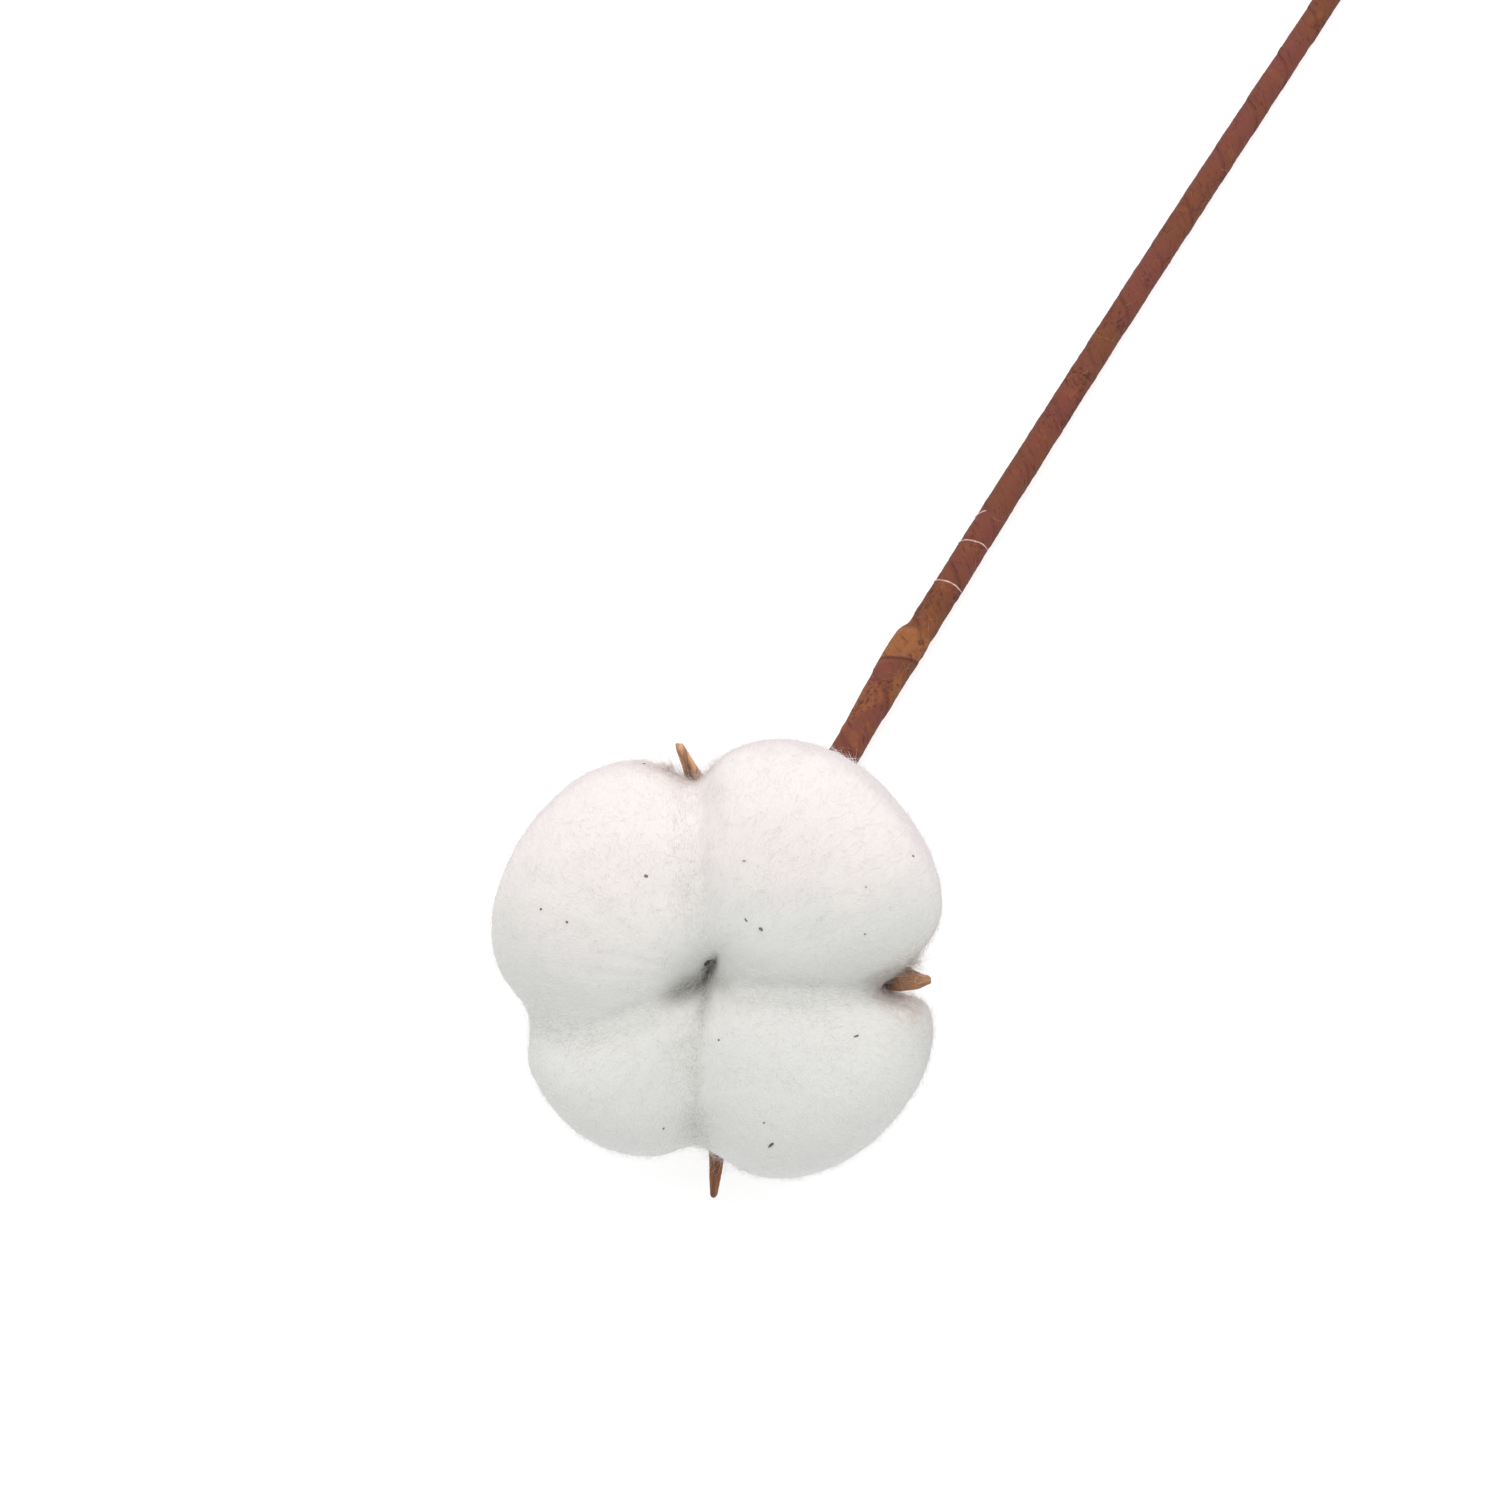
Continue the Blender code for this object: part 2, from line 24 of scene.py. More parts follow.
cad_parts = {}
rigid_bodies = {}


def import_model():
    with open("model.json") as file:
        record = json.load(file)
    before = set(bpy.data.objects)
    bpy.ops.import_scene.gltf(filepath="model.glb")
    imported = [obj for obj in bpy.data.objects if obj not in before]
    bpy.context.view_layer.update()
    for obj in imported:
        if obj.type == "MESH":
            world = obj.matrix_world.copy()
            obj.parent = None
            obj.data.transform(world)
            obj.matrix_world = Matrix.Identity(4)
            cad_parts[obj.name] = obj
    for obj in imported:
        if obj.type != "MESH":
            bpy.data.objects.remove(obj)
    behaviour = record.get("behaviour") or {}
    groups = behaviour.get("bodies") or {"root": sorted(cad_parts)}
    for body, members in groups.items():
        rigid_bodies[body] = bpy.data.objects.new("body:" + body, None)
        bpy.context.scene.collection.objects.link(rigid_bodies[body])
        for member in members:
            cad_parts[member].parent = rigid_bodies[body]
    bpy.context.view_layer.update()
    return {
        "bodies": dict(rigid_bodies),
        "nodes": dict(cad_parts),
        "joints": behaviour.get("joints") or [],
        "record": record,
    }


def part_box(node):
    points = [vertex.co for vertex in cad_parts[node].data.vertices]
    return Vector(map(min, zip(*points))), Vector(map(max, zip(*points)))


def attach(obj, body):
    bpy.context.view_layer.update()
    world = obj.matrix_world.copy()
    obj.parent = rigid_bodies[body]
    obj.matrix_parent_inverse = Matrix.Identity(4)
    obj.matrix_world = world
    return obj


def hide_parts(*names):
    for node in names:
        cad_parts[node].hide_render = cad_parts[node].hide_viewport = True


log = logging.getLogger("cotton_boll")

MM = 0.001
PHOTO_SIDE = 1500
UP_THE_PICTURE = (-0.550, 0.835, 0.0)

Pair = tuple[float, float]
Place = tuple[float, float, float]
Colour = tuple[float, float, float]


class LockName(Enum):
    """The four locks of cotton, by the name of each one's solid."""

    UPPER_RIGHT = "lock_upper_right"
    UPPER_LEFT = "lock_upper_left"
    LOWER_LEFT = "lock_lower_left"
    LOWER_RIGHT = "lock_lower_right"


class Tip(Enum):
    """The burr's four points, each by its angle in degrees, its reach and its height on the open face."""

    RIGHT = (-3.0, 0.0275, 0.0070)
    TOP = (97.6, 0.0278, 0.0012)
    LEFT = (196.0, 0.0258, -0.0072)
    BOTTOM = (267.0, 0.0315, -0.0006)


def tip_places() -> np.ndarray:
    """Gives the places of the burr's points in the boll's own frame."""
    return np.array([[reach * math.cos(math.radians(angle)), reach * math.sin(math.radians(angle)), height]
                     for angle, reach, height in (tip.value for tip in Tip)])


@dataclass(frozen=True)
class BollPlacement:
    """Where the boll sits and how it leans."""

    centre: Place = (-0.0160, 0.0016, 0.0230)
    lean: float = math.radians(28.8)
    lean_turn: float = math.radians(19.8)
    stem_side: float = math.radians(55.7)

    def matrix(self) -> Matrix:
        """Gives the boll's own frame, whose +Z runs out of the open face.

        Returns:
            The matrix from the boll's frame to the part's frame.
        """
        level = Vector((math.sin(self.lean_turn), -math.cos(self.lean_turn), 0.0))
        axis_z = level * math.sin(self.lean) + Vector((0.0, 0.0, math.cos(self.lean)))
        stem = Vector((0.0, 1.0, 0.0))
        stem = (stem - axis_z * stem.dot(axis_z)).normalized()
        axis_x = Matrix.Rotation(-self.stem_side, 3, axis_z) @ stem
        turn = Matrix((axis_x, axis_z.cross(axis_x), axis_z)).transposed()
        return Matrix.Translation(Vector(self.centre)) @ turn.to_4x4()

    def directions(self) -> np.ndarray:
        """Gives the boll's three directions in the part's frame, as columns."""
        return np.array(self.matrix().to_3x3())

    def own(self, points: np.ndarray) -> np.ndarray:
        """Turns points of the part's frame into the boll's own."""
        inverse = np.array(self.matrix().inverted())
        return points @ inverse[:3, :3].T + inverse[:3, 3]


@dataclass(frozen=True)
class PhotoCamera:
    """The camera at the photograph's viewing angle, set by what it sees of the boll.

    The boll's centre is seen from that elevation and distance, turned from +X by turn, and the camera's own
    pitch and yaw then bring it to its place in the picture.
    """

    elevation: float = math.radians(72.0)
    distance: float = 0.34
    turn: float = math.radians(33.4)
    pitch: float = math.radians(67.513)
    yaw: float = math.radians(2.309)
    lens: float = 63.42
    sensor: float = 36.0

    def level(self) -> tuple[Vector, Vector]:
        """Gives the directions along the table, to the right and away from the camera."""
        right = Vector((math.cos(self.turn), math.sin(self.turn), 0.0))
        return right, Vector((-right.y, right.x, 0.0))

    def frame(self, seen: Vector) -> Matrix:
        """Works out the camera's place and turn.

        Args:
            seen: The boll's centre.

        Returns:
            The camera's world matrix.
        """
        up = Vector((0.0, 0.0, 1.0))
        right, away = self.level()
        place = seen + (up * math.sin(self.elevation) - away * math.cos(self.elevation)) * self.distance
        side = right * math.cos(self.yaw) - away * math.sin(self.yaw)
        heading = away * math.cos(self.yaw) + right * math.sin(self.yaw)
        forward = heading * math.cos(self.pitch) - up * math.sin(self.pitch)
        turn = Matrix((side, side.cross(forward), -forward)).transposed()
        return Matrix.Translation(place) @ turn.to_4x4()

    def ray(self, seen: Vector, pixel: Pair) -> tuple[Vector, Vector]:
        """Gives the line of sight through a pixel of the photograph.

        Args:
            seen: The boll's centre.
            pixel: The pixel, from the picture's upper left corner.

        Returns:
            Where the line starts and its direction.
        """
        frame = self.frame(seen)
        per_pixel = self.sensor / self.lens / PHOTO_SIDE
        across = (pixel[0] - PHOTO_SIDE / 2) * per_pixel
        down = (pixel[1] - PHOTO_SIDE / 2) * per_pixel
        return frame.translation, (frame.to_3x3() @ Vector((across, -down, -1.0))).normalized()


class Value:
    """A number that a node gives. Arithmetic on it adds the nodes that work it out."""

    MATHS = "ShaderNodeMath"

    def __init__(self, nodes: NodeBuilder, socket: bpy.types.NodeSocket) -> None:
        """Wraps a node's output.

        Args:
            nodes: The builder of the tree that the node is in.
            socket: The output.
        """
        self.nodes = nodes
        self.socket = socket

    def _joined(self, operation: str, *operands: Any) -> Value:
        """Adds one maths node and gives its result."""
        made = self.nodes.node(self.MATHS, {"operation": operation}, dict(enumerate(operands)))
        return type(self)(self.nodes, made.outputs[0])

    def __add__(self, other: Any) -> Value:
        """Adds."""
        return self._joined("ADD", self, other)

    def __radd__(self, other: Any) -> Value:
        """Adds, with the value on the right."""
        return self._joined("ADD", other, self)

    def __sub__(self, other: Any) -> Value:
        """Subtracts."""
        return self._joined("SUBTRACT", self, other)

    def __rsub__(self, other: Any) -> Value:
        """Subtracts the value."""
        return self._joined("SUBTRACT", other, self)

    def __mul__(self, other: Any) -> Value:
        """Multiplies."""
        return self._joined("MULTIPLY", self, other)

    def __rmul__(self, other: Any) -> Value:
        """Multiplies, with the value on the right."""
        return self._joined("MULTIPLY", other, self)

    def __truediv__(self, other: Any) -> Value:
        """Divides."""
        return self._joined("DIVIDE", self, other)

    def __rtruediv__(self, other: Any) -> Value:
        """Divides by the value."""
        return self._joined("DIVIDE", other, self)

    def whole(self) -> Value:
        """Rounds down."""
        return self._joined("FLOOR", self)

    def fraction(self) -> Value:
        """Keeps the part past the whole number."""
        return self._joined("FRACT", self)

    def sine(self) -> Value:
        """Takes the sine."""
        return self._joined("SINE", self)

    def most(self, other: Any) -> Value:
        """Keeps the larger of the two."""
        return self._joined("MAXIMUM", self, other)

    def eased(self, start: Any, end: Any, low: Any = 0.0, high: Any = 1.0) -> Value:
        """Steps smoothly from low to high.

        Args:
            start: The value at which the step starts.
            end: The value at which it ends.
            low: What it gives before the step.
            high: What it gives after it.

        Returns:
            The eased value.
        """
        made = self.nodes.node("ShaderNodeMapRange", {"interpolation_type": "SMOOTHSTEP"},
                               {0: self, 1: start, 2: end, 3: low, 4: high})
        return Value(self.nodes, made.outputs[0])


class Arrow(Value):
    """A vector that a node gives, with arithmetic of its own."""

    MATHS = "ShaderNodeVectorMath"

    def scaled(self, factor: Any) -> Arrow:
        """Makes it longer or shorter."""
        made = self.nodes.node(self.MATHS, {"operation": "SCALE"}, {0: self, 3: factor})
        return Arrow(self.nodes, made.outputs[0])

    def unit(self) -> Arrow:
        """Gives it a length of one."""
        return self._joined("NORMALIZE", self)

    def dot(self, other: Any) -> Value:
        """Gives how far it runs along another."""
        made = self.nodes.node(self.MATHS, {"operation": "DOT_PRODUCT"}, {0: self, 1: other})
        return Value(self.nodes, made.outputs[1])

    def parts(self) -> list[Value]:
        """Splits it into x, y and z."""
        made = self.nodes.node("ShaderNodeSeparateXYZ", {}, {0: self})
        return [Value(self.nodes, output) for output in made.outputs]


class NodeBuilder:
    """Adds nodes to a tree: a material's or a Geometry Nodes modifier's."""

    def __init__(self, tree: bpy.types.NodeTree) -> None:
        """Keeps the tree."""
        self.tree = tree

    def node(self, kind: str, settings: Mapping[str, Any] | None = None,
             sockets: Mapping[int | str, Any] | None = None) -> bpy.types.Node:
        """Adds one node.

        Args:
            kind: The node's type.
            settings: Its properties, which are set first.
            sockets: The value or link of each input, by its name or number.

        Returns:
            The node.
        """
        made = self.tree.nodes.new(kind)
        for name, value in (settings or {}).items():
            setattr(made, name, value)
        for key, value in (sockets or {}).items():
            self.feed(made.inputs[key], value)
        return made

    def feed(self, socket: bpy.types.NodeSocket, value: Any) -> None:
        """Links a value to an input, or sets the input if it is a plain one.

        Args:
            socket: The input.
            value: The value.
        """
        if isinstance(value, Value):
            self.tree.links.new(value.socket, socket)
        elif isinstance(value, bpy.types.NodeSocket):
            self.tree.links.new(value, socket)
        else:
            socket.default_value = value

    def arrow(self, made: bpy.types.Node, output: int | str = 0) -> Arrow:
        """Gives a node's vector output."""
        return Arrow(self, made.outputs[output])

    def value(self, made: bpy.types.Node, output: int | str = 0) -> Value:
        """Gives a node's number output."""
        return Value(self, made.outputs[output])

    def noise(self, at: Any, scale: float, detail: float = 2.0, roughness: float = 0.5,
              distortion: float = 0.0) -> Value:
        """Adds a noise pattern from 0 to 1.

        Args:
            at: Where it is read.
            scale: How fine it is, in waves a metre or a unit of at.
            detail: How many finer layers it has.
            roughness: How strong those are.
            distortion: How far it is warped.

        Returns:
            The pattern.
        """
        made = self.node("ShaderNodeTexNoise", {}, {"Vector": at, "Scale": scale, "Detail": detail,
                                                    "Roughness": roughness, "Distortion": distortion})
        return Value(self, made.outputs[0])

    def joined(self, x: Any, y: Any, z: Any) -> Arrow:
        """Makes a vector of three numbers."""
        return self.arrow(self.node("ShaderNodeCombineXYZ", {}, {0: x, 1: y, 2: z}))


class Shading(NodeBuilder):
    """A material in the making, with its shader."""

    def __init__(self, name: str, **constants: Any) -> None:
        """Starts the material.

        Args:
            name: The material's name.
            constants: What is the same all over it, by the shader's socket name with _ for a space.
        """
        self.material = bpy.data.materials.new(name)
        self.material.use_nodes = True
        super().__init__(self.material.node_tree)
        self.surface = self.tree.nodes["Principled BSDF"]
        for key, value in constants.items():
            self.surface.inputs[key.replace("_", " ")].default_value = value

    def place(self) -> Arrow:
        """Gives the point's place in the part's frame."""
        return self.arrow(self.node("ShaderNodeTexCoord"), "Object")

    def up_the_picture(self) -> Value:
        """Gives how far the point lies from the boll's middle, up the picture."""
        return (self.place() - BollPlacement().centre).dot(UP_THE_PICTURE)

    def attribute(self, name: str) -> Value:
        """Reads a number that the mesh holds."""
        return self.value(self.node("ShaderNodeAttribute", {"attribute_name": name}), "Fac")

    def attribute_arrow(self, name: str) -> Arrow:
        """Reads a vector that the mesh holds."""
        return self.arrow(self.node("ShaderNodeAttribute", {"attribute_name": name}), "Vector")

    def blend(self, share: Any, first: Any, second: Any, kind: str = "MIX") -> bpy.types.NodeSocket:
        """Mixes two colours.

        Args:
            share: How much of the second is in it.
            first: The first colour.
            second: The second colour.
            kind: How they are mixed.

        Returns:
            The mixed colour.
        """
        colours = [(*c, 1.0) if isinstance(c, tuple) and len(c) == 3 else c for c in (first, second)]
        made = self.node("ShaderNodeMix", {"data_type": "RGBA", "blend_type": kind},
                         {0: share, 6: colours[0], 7: colours[1]})
        return made.outputs[2]

    def raise_by(self, height: Value, strength: float, distance: float) -> None:
        """Gives the surface a bump.

        Args:
            height: The relief, from 0 to 1.
            strength: How strongly it shows.
            distance: Its depth in metres.
        """
        bump = self.node("ShaderNodeBump", {}, {"Strength": strength, "Distance": distance, "Height": height})
        self.feed(self.surface.inputs["Normal"], bump.outputs[0])

    def dress(self, colour: Any = None, roughness: Any = None) -> bpy.types.Material:
        """Ends the material.

        Args:
            colour: Its colour, where it changes over the surface.
            roughness: Its roughness, where it changes.

        Returns:
            The material.
        """
        for name, value in (("Base Color", colour), ("Roughness", roughness)):
            if value is not None:
                self.feed(self.surface.inputs[name], value)
        return self.material


class ShapeNodes(NodeBuilder):
    """A Geometry Nodes tree in the making."""

    def __init__(self, name: str, inputs: Mapping[str, str]) -> None:
        """Starts the tree.

        Args:
            name: The tree's name.
            inputs: The kind of each of its inputs, by the input's name.
        """
        super().__init__(bpy.data.node_groups.new(name, "GeometryNodeTree"))
        for label, kind in inputs.items():
            self.tree.interface.new_socket(label, in_out="INPUT", socket_type="NodeSocket" + kind)
        self.tree.interface.new_socket("Shape", in_out="OUTPUT", socket_type="NodeSocketGeometry")
        self.given = self.node("NodeGroupInput").outputs

    def here(self) -> Arrow:
        """Gives each point's place."""
        return self.arrow(self.node("GeometryNodeInputPosition"))

    def drift(self, at: Any, scale: float) -> Arrow:
        """Gives a soft noise of directions about zero, read at a place."""
        made = self.node("ShaderNodeTexNoise", {}, {"Vector": at, "Scale": scale, "Detail": 1.0})
        return self.arrow(made, "Color") - (0.5, 0.5, 0.5)

    def chance(self, low: float, high: float, seed: int) -> Value:
        """Gives each point a number of its own between two."""
        return self.value(self.node("FunctionNodeRandomValue", {}, {2: low, 3: high, "Seed": seed}), 1)

    def keep(self, shape: Any, name: str, value: Any, kind: str = "FLOAT") -> bpy.types.NodeSocket:
        """Keeps a value on a shape's points under a name."""
        return self.node("GeometryNodeStoreNamedAttribute", {"data_type": kind},
                         {"Geometry": shape, "Name": name, "Value": value}).outputs[0]

    def kept(self, name: str, kind: str = "FLOAT") -> Any:
        """Reads a value that was kept under a name."""
        made = self.node("GeometryNodeInputNamedAttribute", {"data_type": kind}, {"Name": name})
        return self.arrow(made) if kind == "FLOAT_VECTOR" else self.value(made)

    def moved(self, shape: Any, place: Arrow, lowest: float) -> bpy.types.NodeSocket:
        """Moves a shape's points to new places.

        Args:
            shape: The shape.
            place: The new places.
            lowest: The height under which no point goes.

        Returns:
            The moved shape.
        """
        x, y, z = place.parts()
        above = self.joined(x, y, z.most(lowest))
        return self.node("GeometryNodeSetPosition", {}, {"Geometry": shape, "Position": above}).outputs[0]

    def ended(self, shape: Any, spent: Sequence[str] = ()) -> bpy.types.NodeTree:
        """Ends the tree with a smooth, real and dressed shape.

        Args:
            shape: The shape.
            spent: The names of kept values that the piece itself doesn't need.

        Returns:
            The tree.
        """
        for name in spent:
            shape = self.node("GeometryNodeRemoveAttribute", {}, {"Geometry": shape, "Name": name}).outputs[0]
        smooth = self.node("GeometryNodeSetShadeSmooth", {}, {"Geometry": shape})
        real = self.node("GeometryNodeRealizeInstances", {}, {0: smooth.outputs[0]})
        dressed = self.node("GeometryNodeSetMaterial", {},
                            {"Geometry": real.outputs[0], "Material": self.given["Material"]})
        self.node("NodeGroupOutput", {}, {0: dressed.outputs[0]})
        return self.tree


@dataclass(frozen=True)
class CottonFinish:
    """White lint: soft, matt, faintly uneven in its tint and dusty where it touches the burr, with painted
    shade down the picture, on its flanks, in its hollows and between its fibres.
    """

    rosy: Colour = (0.892, 0.842, 0.838)
    cream: Colour = (0.890, 0.862, 0.815)
    # painted shade: the grey that the lint turns lower down the picture
    painted_shade_grey: Colour = (0.768, 0.776, 0.758)
    dusty: Colour = (0.60, 0.48, 0.40)
    # painted shade: the dark of the slit, the pocket and the other hollows
    painted_deep_shade: Colour = (0.250, 0.245, 0.205)
    # painted shade: the tint multiplied in on the flanks
    flank: Colour = (0.880, 0.840, 0.885)
    shaded: Pair = (-6.0 * MM, 9.0 * MM)
    cloud_drift: float = 6.0 * MM
    relief: float = 0.24 * MM

    def material(self) -> bpy.types.Material:
        """Makes the material of the locks.

        Returns:
            The material.
        """
        made = Shading("cotton_lint", Roughness=0.95, Sheen_Weight=0.10, Sheen_Roughness=0.6,
                       Specular_IOR_Level=0.08)
        at = made.place()
        cloudy = made.noise(at, 70.0, 2.0, 0.5, 0.4).eased(0.35, 0.7)
        patchy = made.noise(at, 160.0, 3.0, 0.55, 0.8).eased(0.42, 0.72)
        fibres = made.noise(at, 1500.0, 3.0, 0.6, 2.2)
        height = made.up_the_picture() + (cloudy - 0.5) * self.cloud_drift
        tint = made.blend(patchy * 0.45, self.rosy, self.cream)
        # painted shade: greyer lower down the picture, where less light falls
        tint = made.blend(height.eased(*self.shaded), self.painted_shade_grey, tint)
        # painted shade on the flanks that turn away from the open face
        tint = made.blend(made.attribute("flank"), tint, self.flank, "MULTIPLY")
        # painted shade in the slit, the pocket and the other hollows of the wells
        tint = made.blend(made.attribute("sunk"), tint, self.painted_deep_shade)
        dust = made.attribute("dust") * made.noise(at, 900.0, 3.0, 0.65, 1.5).eased(0.35, 0.65)
        tint = made.blend(dust * 0.8, tint, self.dusty)
        strands = made.noise(made.attribute_arrow("combed"), 1.0, 3.0, 0.6, 0.6)
        hairs = made.noise(made.attribute_arrow("combed"), 2.6, 3.0, 0.7, 1.6)
        # painted shade: thin dark lines between the fibres, stronger along the grooves
        thin = (0.35 - hairs).most(-0.5).eased(-0.16, -0.04) * (made.attribute("crease") * 0.20 + 0.10)
        tint = made.blend(thin, tint, self.painted_deep_shade)
        made.raise_by(strands * 0.5 + fibres * 0.3 + hairs * 0.2, 0.5, self.relief)
        return made.dress(colour=tint)


@dataclass(frozen=True)
class FuzzFinish:
    """Single fibres of the lint, which let some light through."""

    white: Colour = (0.93, 0.915, 0.90)
    dusty: Colour = (0.60, 0.46, 0.38)

    def material(self) -> bpy.types.Material:
        """Makes the material of the fibres.

        Returns:
            The material.
        """
        made = Shading("cotton_fibre", Roughness=0.7, Subsurface_Weight=0.3, Subsurface_Scale=0.0006,
                       Subsurface_Radius=(1.0, 0.95, 0.9), Specular_IOR_Level=0.2)
        shade = made.noise(made.place(), 260.0, 2.0, 0.5)
        tint = made.blend(made.attribute("dust") * shade.eased(0.3, 0.7), self.white, self.dusty)
        return made.dress(colour=tint)


@dataclass(frozen=True)
class HuskFinish:
    """The dried burr: woody, ribbed along its valves, orange-brown at the points and browner below, with
    painted light on its points high in the picture and painted shade on those low in it.
    """

    # painted light: the colour of the points where light falls
    point: Colour = (0.98, 0.57, 0.33)
    shaded_point: Colour = (0.30, 0.13, 0.062)
    side: Colour = (0.235, 0.105, 0.052)
    rib: Colour = (0.085, 0.038, 0.022)
    pale: Colour = (0.60, 0.40, 0.25)
    shaded: Pair = (-12.0 * MM, 6.0 * MM)
    towards_point: Pair = (0.45, 1.0)
    relief: float = 0.3 * MM

    def material(self) -> bpy.types.Material:
        """Makes the material of the burr.

        Returns:
            The material.
        """
        made = Shading("dried_husk", Specular_IOR_Level=0.3)
        at = made.place()
        grain = made.attribute_arrow("grain")
        ribs = made.noise(grain, 1.0, 4.0, 0.62, 0.25)
        broad = made.noise(grain, 0.35, 2.0, 0.5, 0.3)
        blotch = made.noise(at, 420.0, 3.0, 0.6, 0.5)
        fine = made.noise(at, 2600.0, 3.0, 0.6, 0.4)
        # painted light and shade: the points high in the picture lighter, the low one darker
        end = made.blend(made.up_the_picture().eased(*self.shaded), self.shaded_point, self.point)
        tint = made.blend(made.attribute("towards_point").eased(*self.towards_point), self.side, end)
        tint = made.blend(blotch.eased(0.5, 0.78) * 0.45, tint, self.pale)
        tint = made.blend(ribs.eased(0.52, 0.38) * 0.55, tint, self.rib)
        tint = made.blend(broad.eased(0.42, 0.3) * 0.3, tint, self.rib)
        made.raise_by(ribs * 0.7 + fine * 0.3, 0.6, self.relief)
        return made.dress(colour=tint, roughness=blotch.eased(0.3, 0.7, 0.55, 0.85))


@dataclass(frozen=True)
class CrepeFinish:
    """Brown crêpe paper: fine wrinkles across the tape, an orange-brown band at the step, painted shade in
    its creases and along its sides.
    """

    brown: Colour = (0.190, 0.063, 0.028)
    rosy: Colour = (0.198, 0.058, 0.040)
    orange: Colour = (0.325, 0.122, 0.045)
    # painted shade for the wrinkles' hollows, the folds, the band's lower rim and the lapped edges
    crease: Colour = (0.075, 0.022, 0.019)
    worn: Colour = (0.36, 0.185, 0.135)
    # painted shade along the stem's sides
    rim: Colour = (0.070, 0.034, 0.028)
    mottled_until: Pair = (72.0 * MM, 56.0 * MM)
    relief: float = 0.25 * MM

    def material(self) -> bpy.types.Material:
        """Makes the material of the paper.

        Returns:
            The material.
        """
        made = Shading("brown_crepe_paper", Specular_IOR_Level=0.25)
        at = made.place()
        tape = made.attribute_arrow("tape")
        mottle = made.noise(at, 230.0, 3.0, 0.6, 0.6)
        patch = made.noise(at, 75.0, 2.0, 0.5, 0.3)
        wrinkle = made.noise(tape, 1.0, 4.0, 0.65, 0.7)
        fine = made.noise(at, 3200.0, 2.0, 0.6)
        tint = made.blend(patch.eased(0.35, 0.65), self.brown, self.rosy)
        lower = at.parts()[1].eased(*self.mottled_until)
        tint = made.blend(mottle.eased(0.55, 0.8) * 0.45, tint, self.orange)
        tint = made.blend(lower * mottle.eased(0.42, 0.62) * 0.6, tint, self.orange)
        tint = made.blend(made.attribute("band") * mottle.eased(0.15, 0.45, 0.55, 1.0), tint, self.orange)
        # painted shade in the wrinkles' hollows, the folds, along the band's lower rim and the lapped edges
        tint = made.blend(wrinkle.eased(0.47, 0.30) * 0.8, tint, self.crease)
        tint = made.blend(made.attribute("crease") * 0.9, tint, self.crease)
        tint = made.blend(made.attribute("edge") * mottle.eased(0.3, 0.55) * 0.5, tint, self.crease)
        tint = made.blend(fine.eased(0.60, 0.8) * 0.3, tint, self.worn)
        # painted shade along the stem's two sides
        tint = made.blend(made.attribute("side") * 0.35, tint, self.rim)
        made.raise_by(wrinkle * 0.8 + fine * 0.2, 0.5, self.relief)
        return made.dress(colour=tint, roughness=mottle.eased(0.3, 0.7, 0.7, 0.88))


@dataclass(frozen=True)
class WireFinish:
    """The cut end of a galvanised florist's wire."""

    bright: Colour = (0.50, 0.49, 0.47)
    dull: Colour = (0.24, 0.22, 0.20)

    def material(self) -> bpy.types.Material:
        """Makes the material of the wire.

        Returns:
            The material.
        """
        made = Shading("steel_wire", Metallic=1.0)
        at = made.place()
        drawn = made.noise(at, 2600.0, 3.0, 0.6, 0.3)
        spots = made.noise(at, 700.0, 2.0, 0.6)
        tint = made.blend(spots.eased(0.4, 0.7), self.bright, self.dull)
        made.raise_by(drawn, 0.3, 0.0001)
        return made.dress(colour=tint, roughness=drawn.eased(0.3, 0.7, 0.35, 0.6))


@dataclass(frozen=True)
class SpeckFinish:
    """Crumbs of dark seed coat caught in the lint."""

    dark: Colour = (0.085, 0.060, 0.048)
    brown: Colour = (0.30, 0.20, 0.15)

    def material(self) -> bpy.types.Material:
        """Makes the material of the specks.

        Returns:
            The material.
        """
        made = Shading("seed_coat", Roughness=0.7)
        tint = made.blend(made.noise(made.place(), 2400.0, 2.0, 0.5).eased(0.4, 0.7), self.dark, self.brown)
        return made.dress(colour=tint)


@dataclass(frozen=True)
class ThreadFinish:
    """The pale pinkish threads that lie across the paper."""

    pale: Colour = (0.54, 0.32, 0.26)
    white: Colour = (0.74, 0.54, 0.48)

    def material(self) -> bpy.types.Material:
        """Makes the material of the threads.

        Returns:
            The material.
        """
        made = Shading("pale_thread", Roughness=0.8)
        tint = made.blend(made.noise(made.place(), 1500.0, 2.0, 0.5).eased(0.35, 0.65), self.pale, self.white)
        return made.dress(colour=tint)


def merged_copy(node: str) -> bmesh.types.BMesh:
    """Copies a solid's mesh with its loose triangles joined up.

    Args:
        node: The solid's name.

    Returns:
        The copy.
    """
    copy = bmesh.new()
    copy.from_mesh(bpy.data.objects[node].data)
    bmesh.ops.remove_doubles(copy, verts=copy.verts, dist=1e-6)
    return copy


def mesh_of(shape: bmesh.types.BMesh, name: str) -> bpy.types.Mesh:
    """Turns a shape into a mesh, and frees the shape.

    Args:
        shape: The shape.
        name: The mesh's name.

    Returns:
        The mesh.
    """
    mesh = bpy.data.meshes.new(name)
    shape.to_mesh(mesh)
    shape.free()
    return mesh


def add_piece(name: str, mesh: bpy.types.ID) -> bpy.types.Object:
    """Puts a mesh or a curve in the scene as a piece.

    Args:
        name: The piece's name.
        mesh: The mesh or curve.

    Returns:
        The piece.
    """
    piece = bpy.data.objects.new(name, mesh)
    bpy.context.scene.collection.objects.link(piece)
    return piece


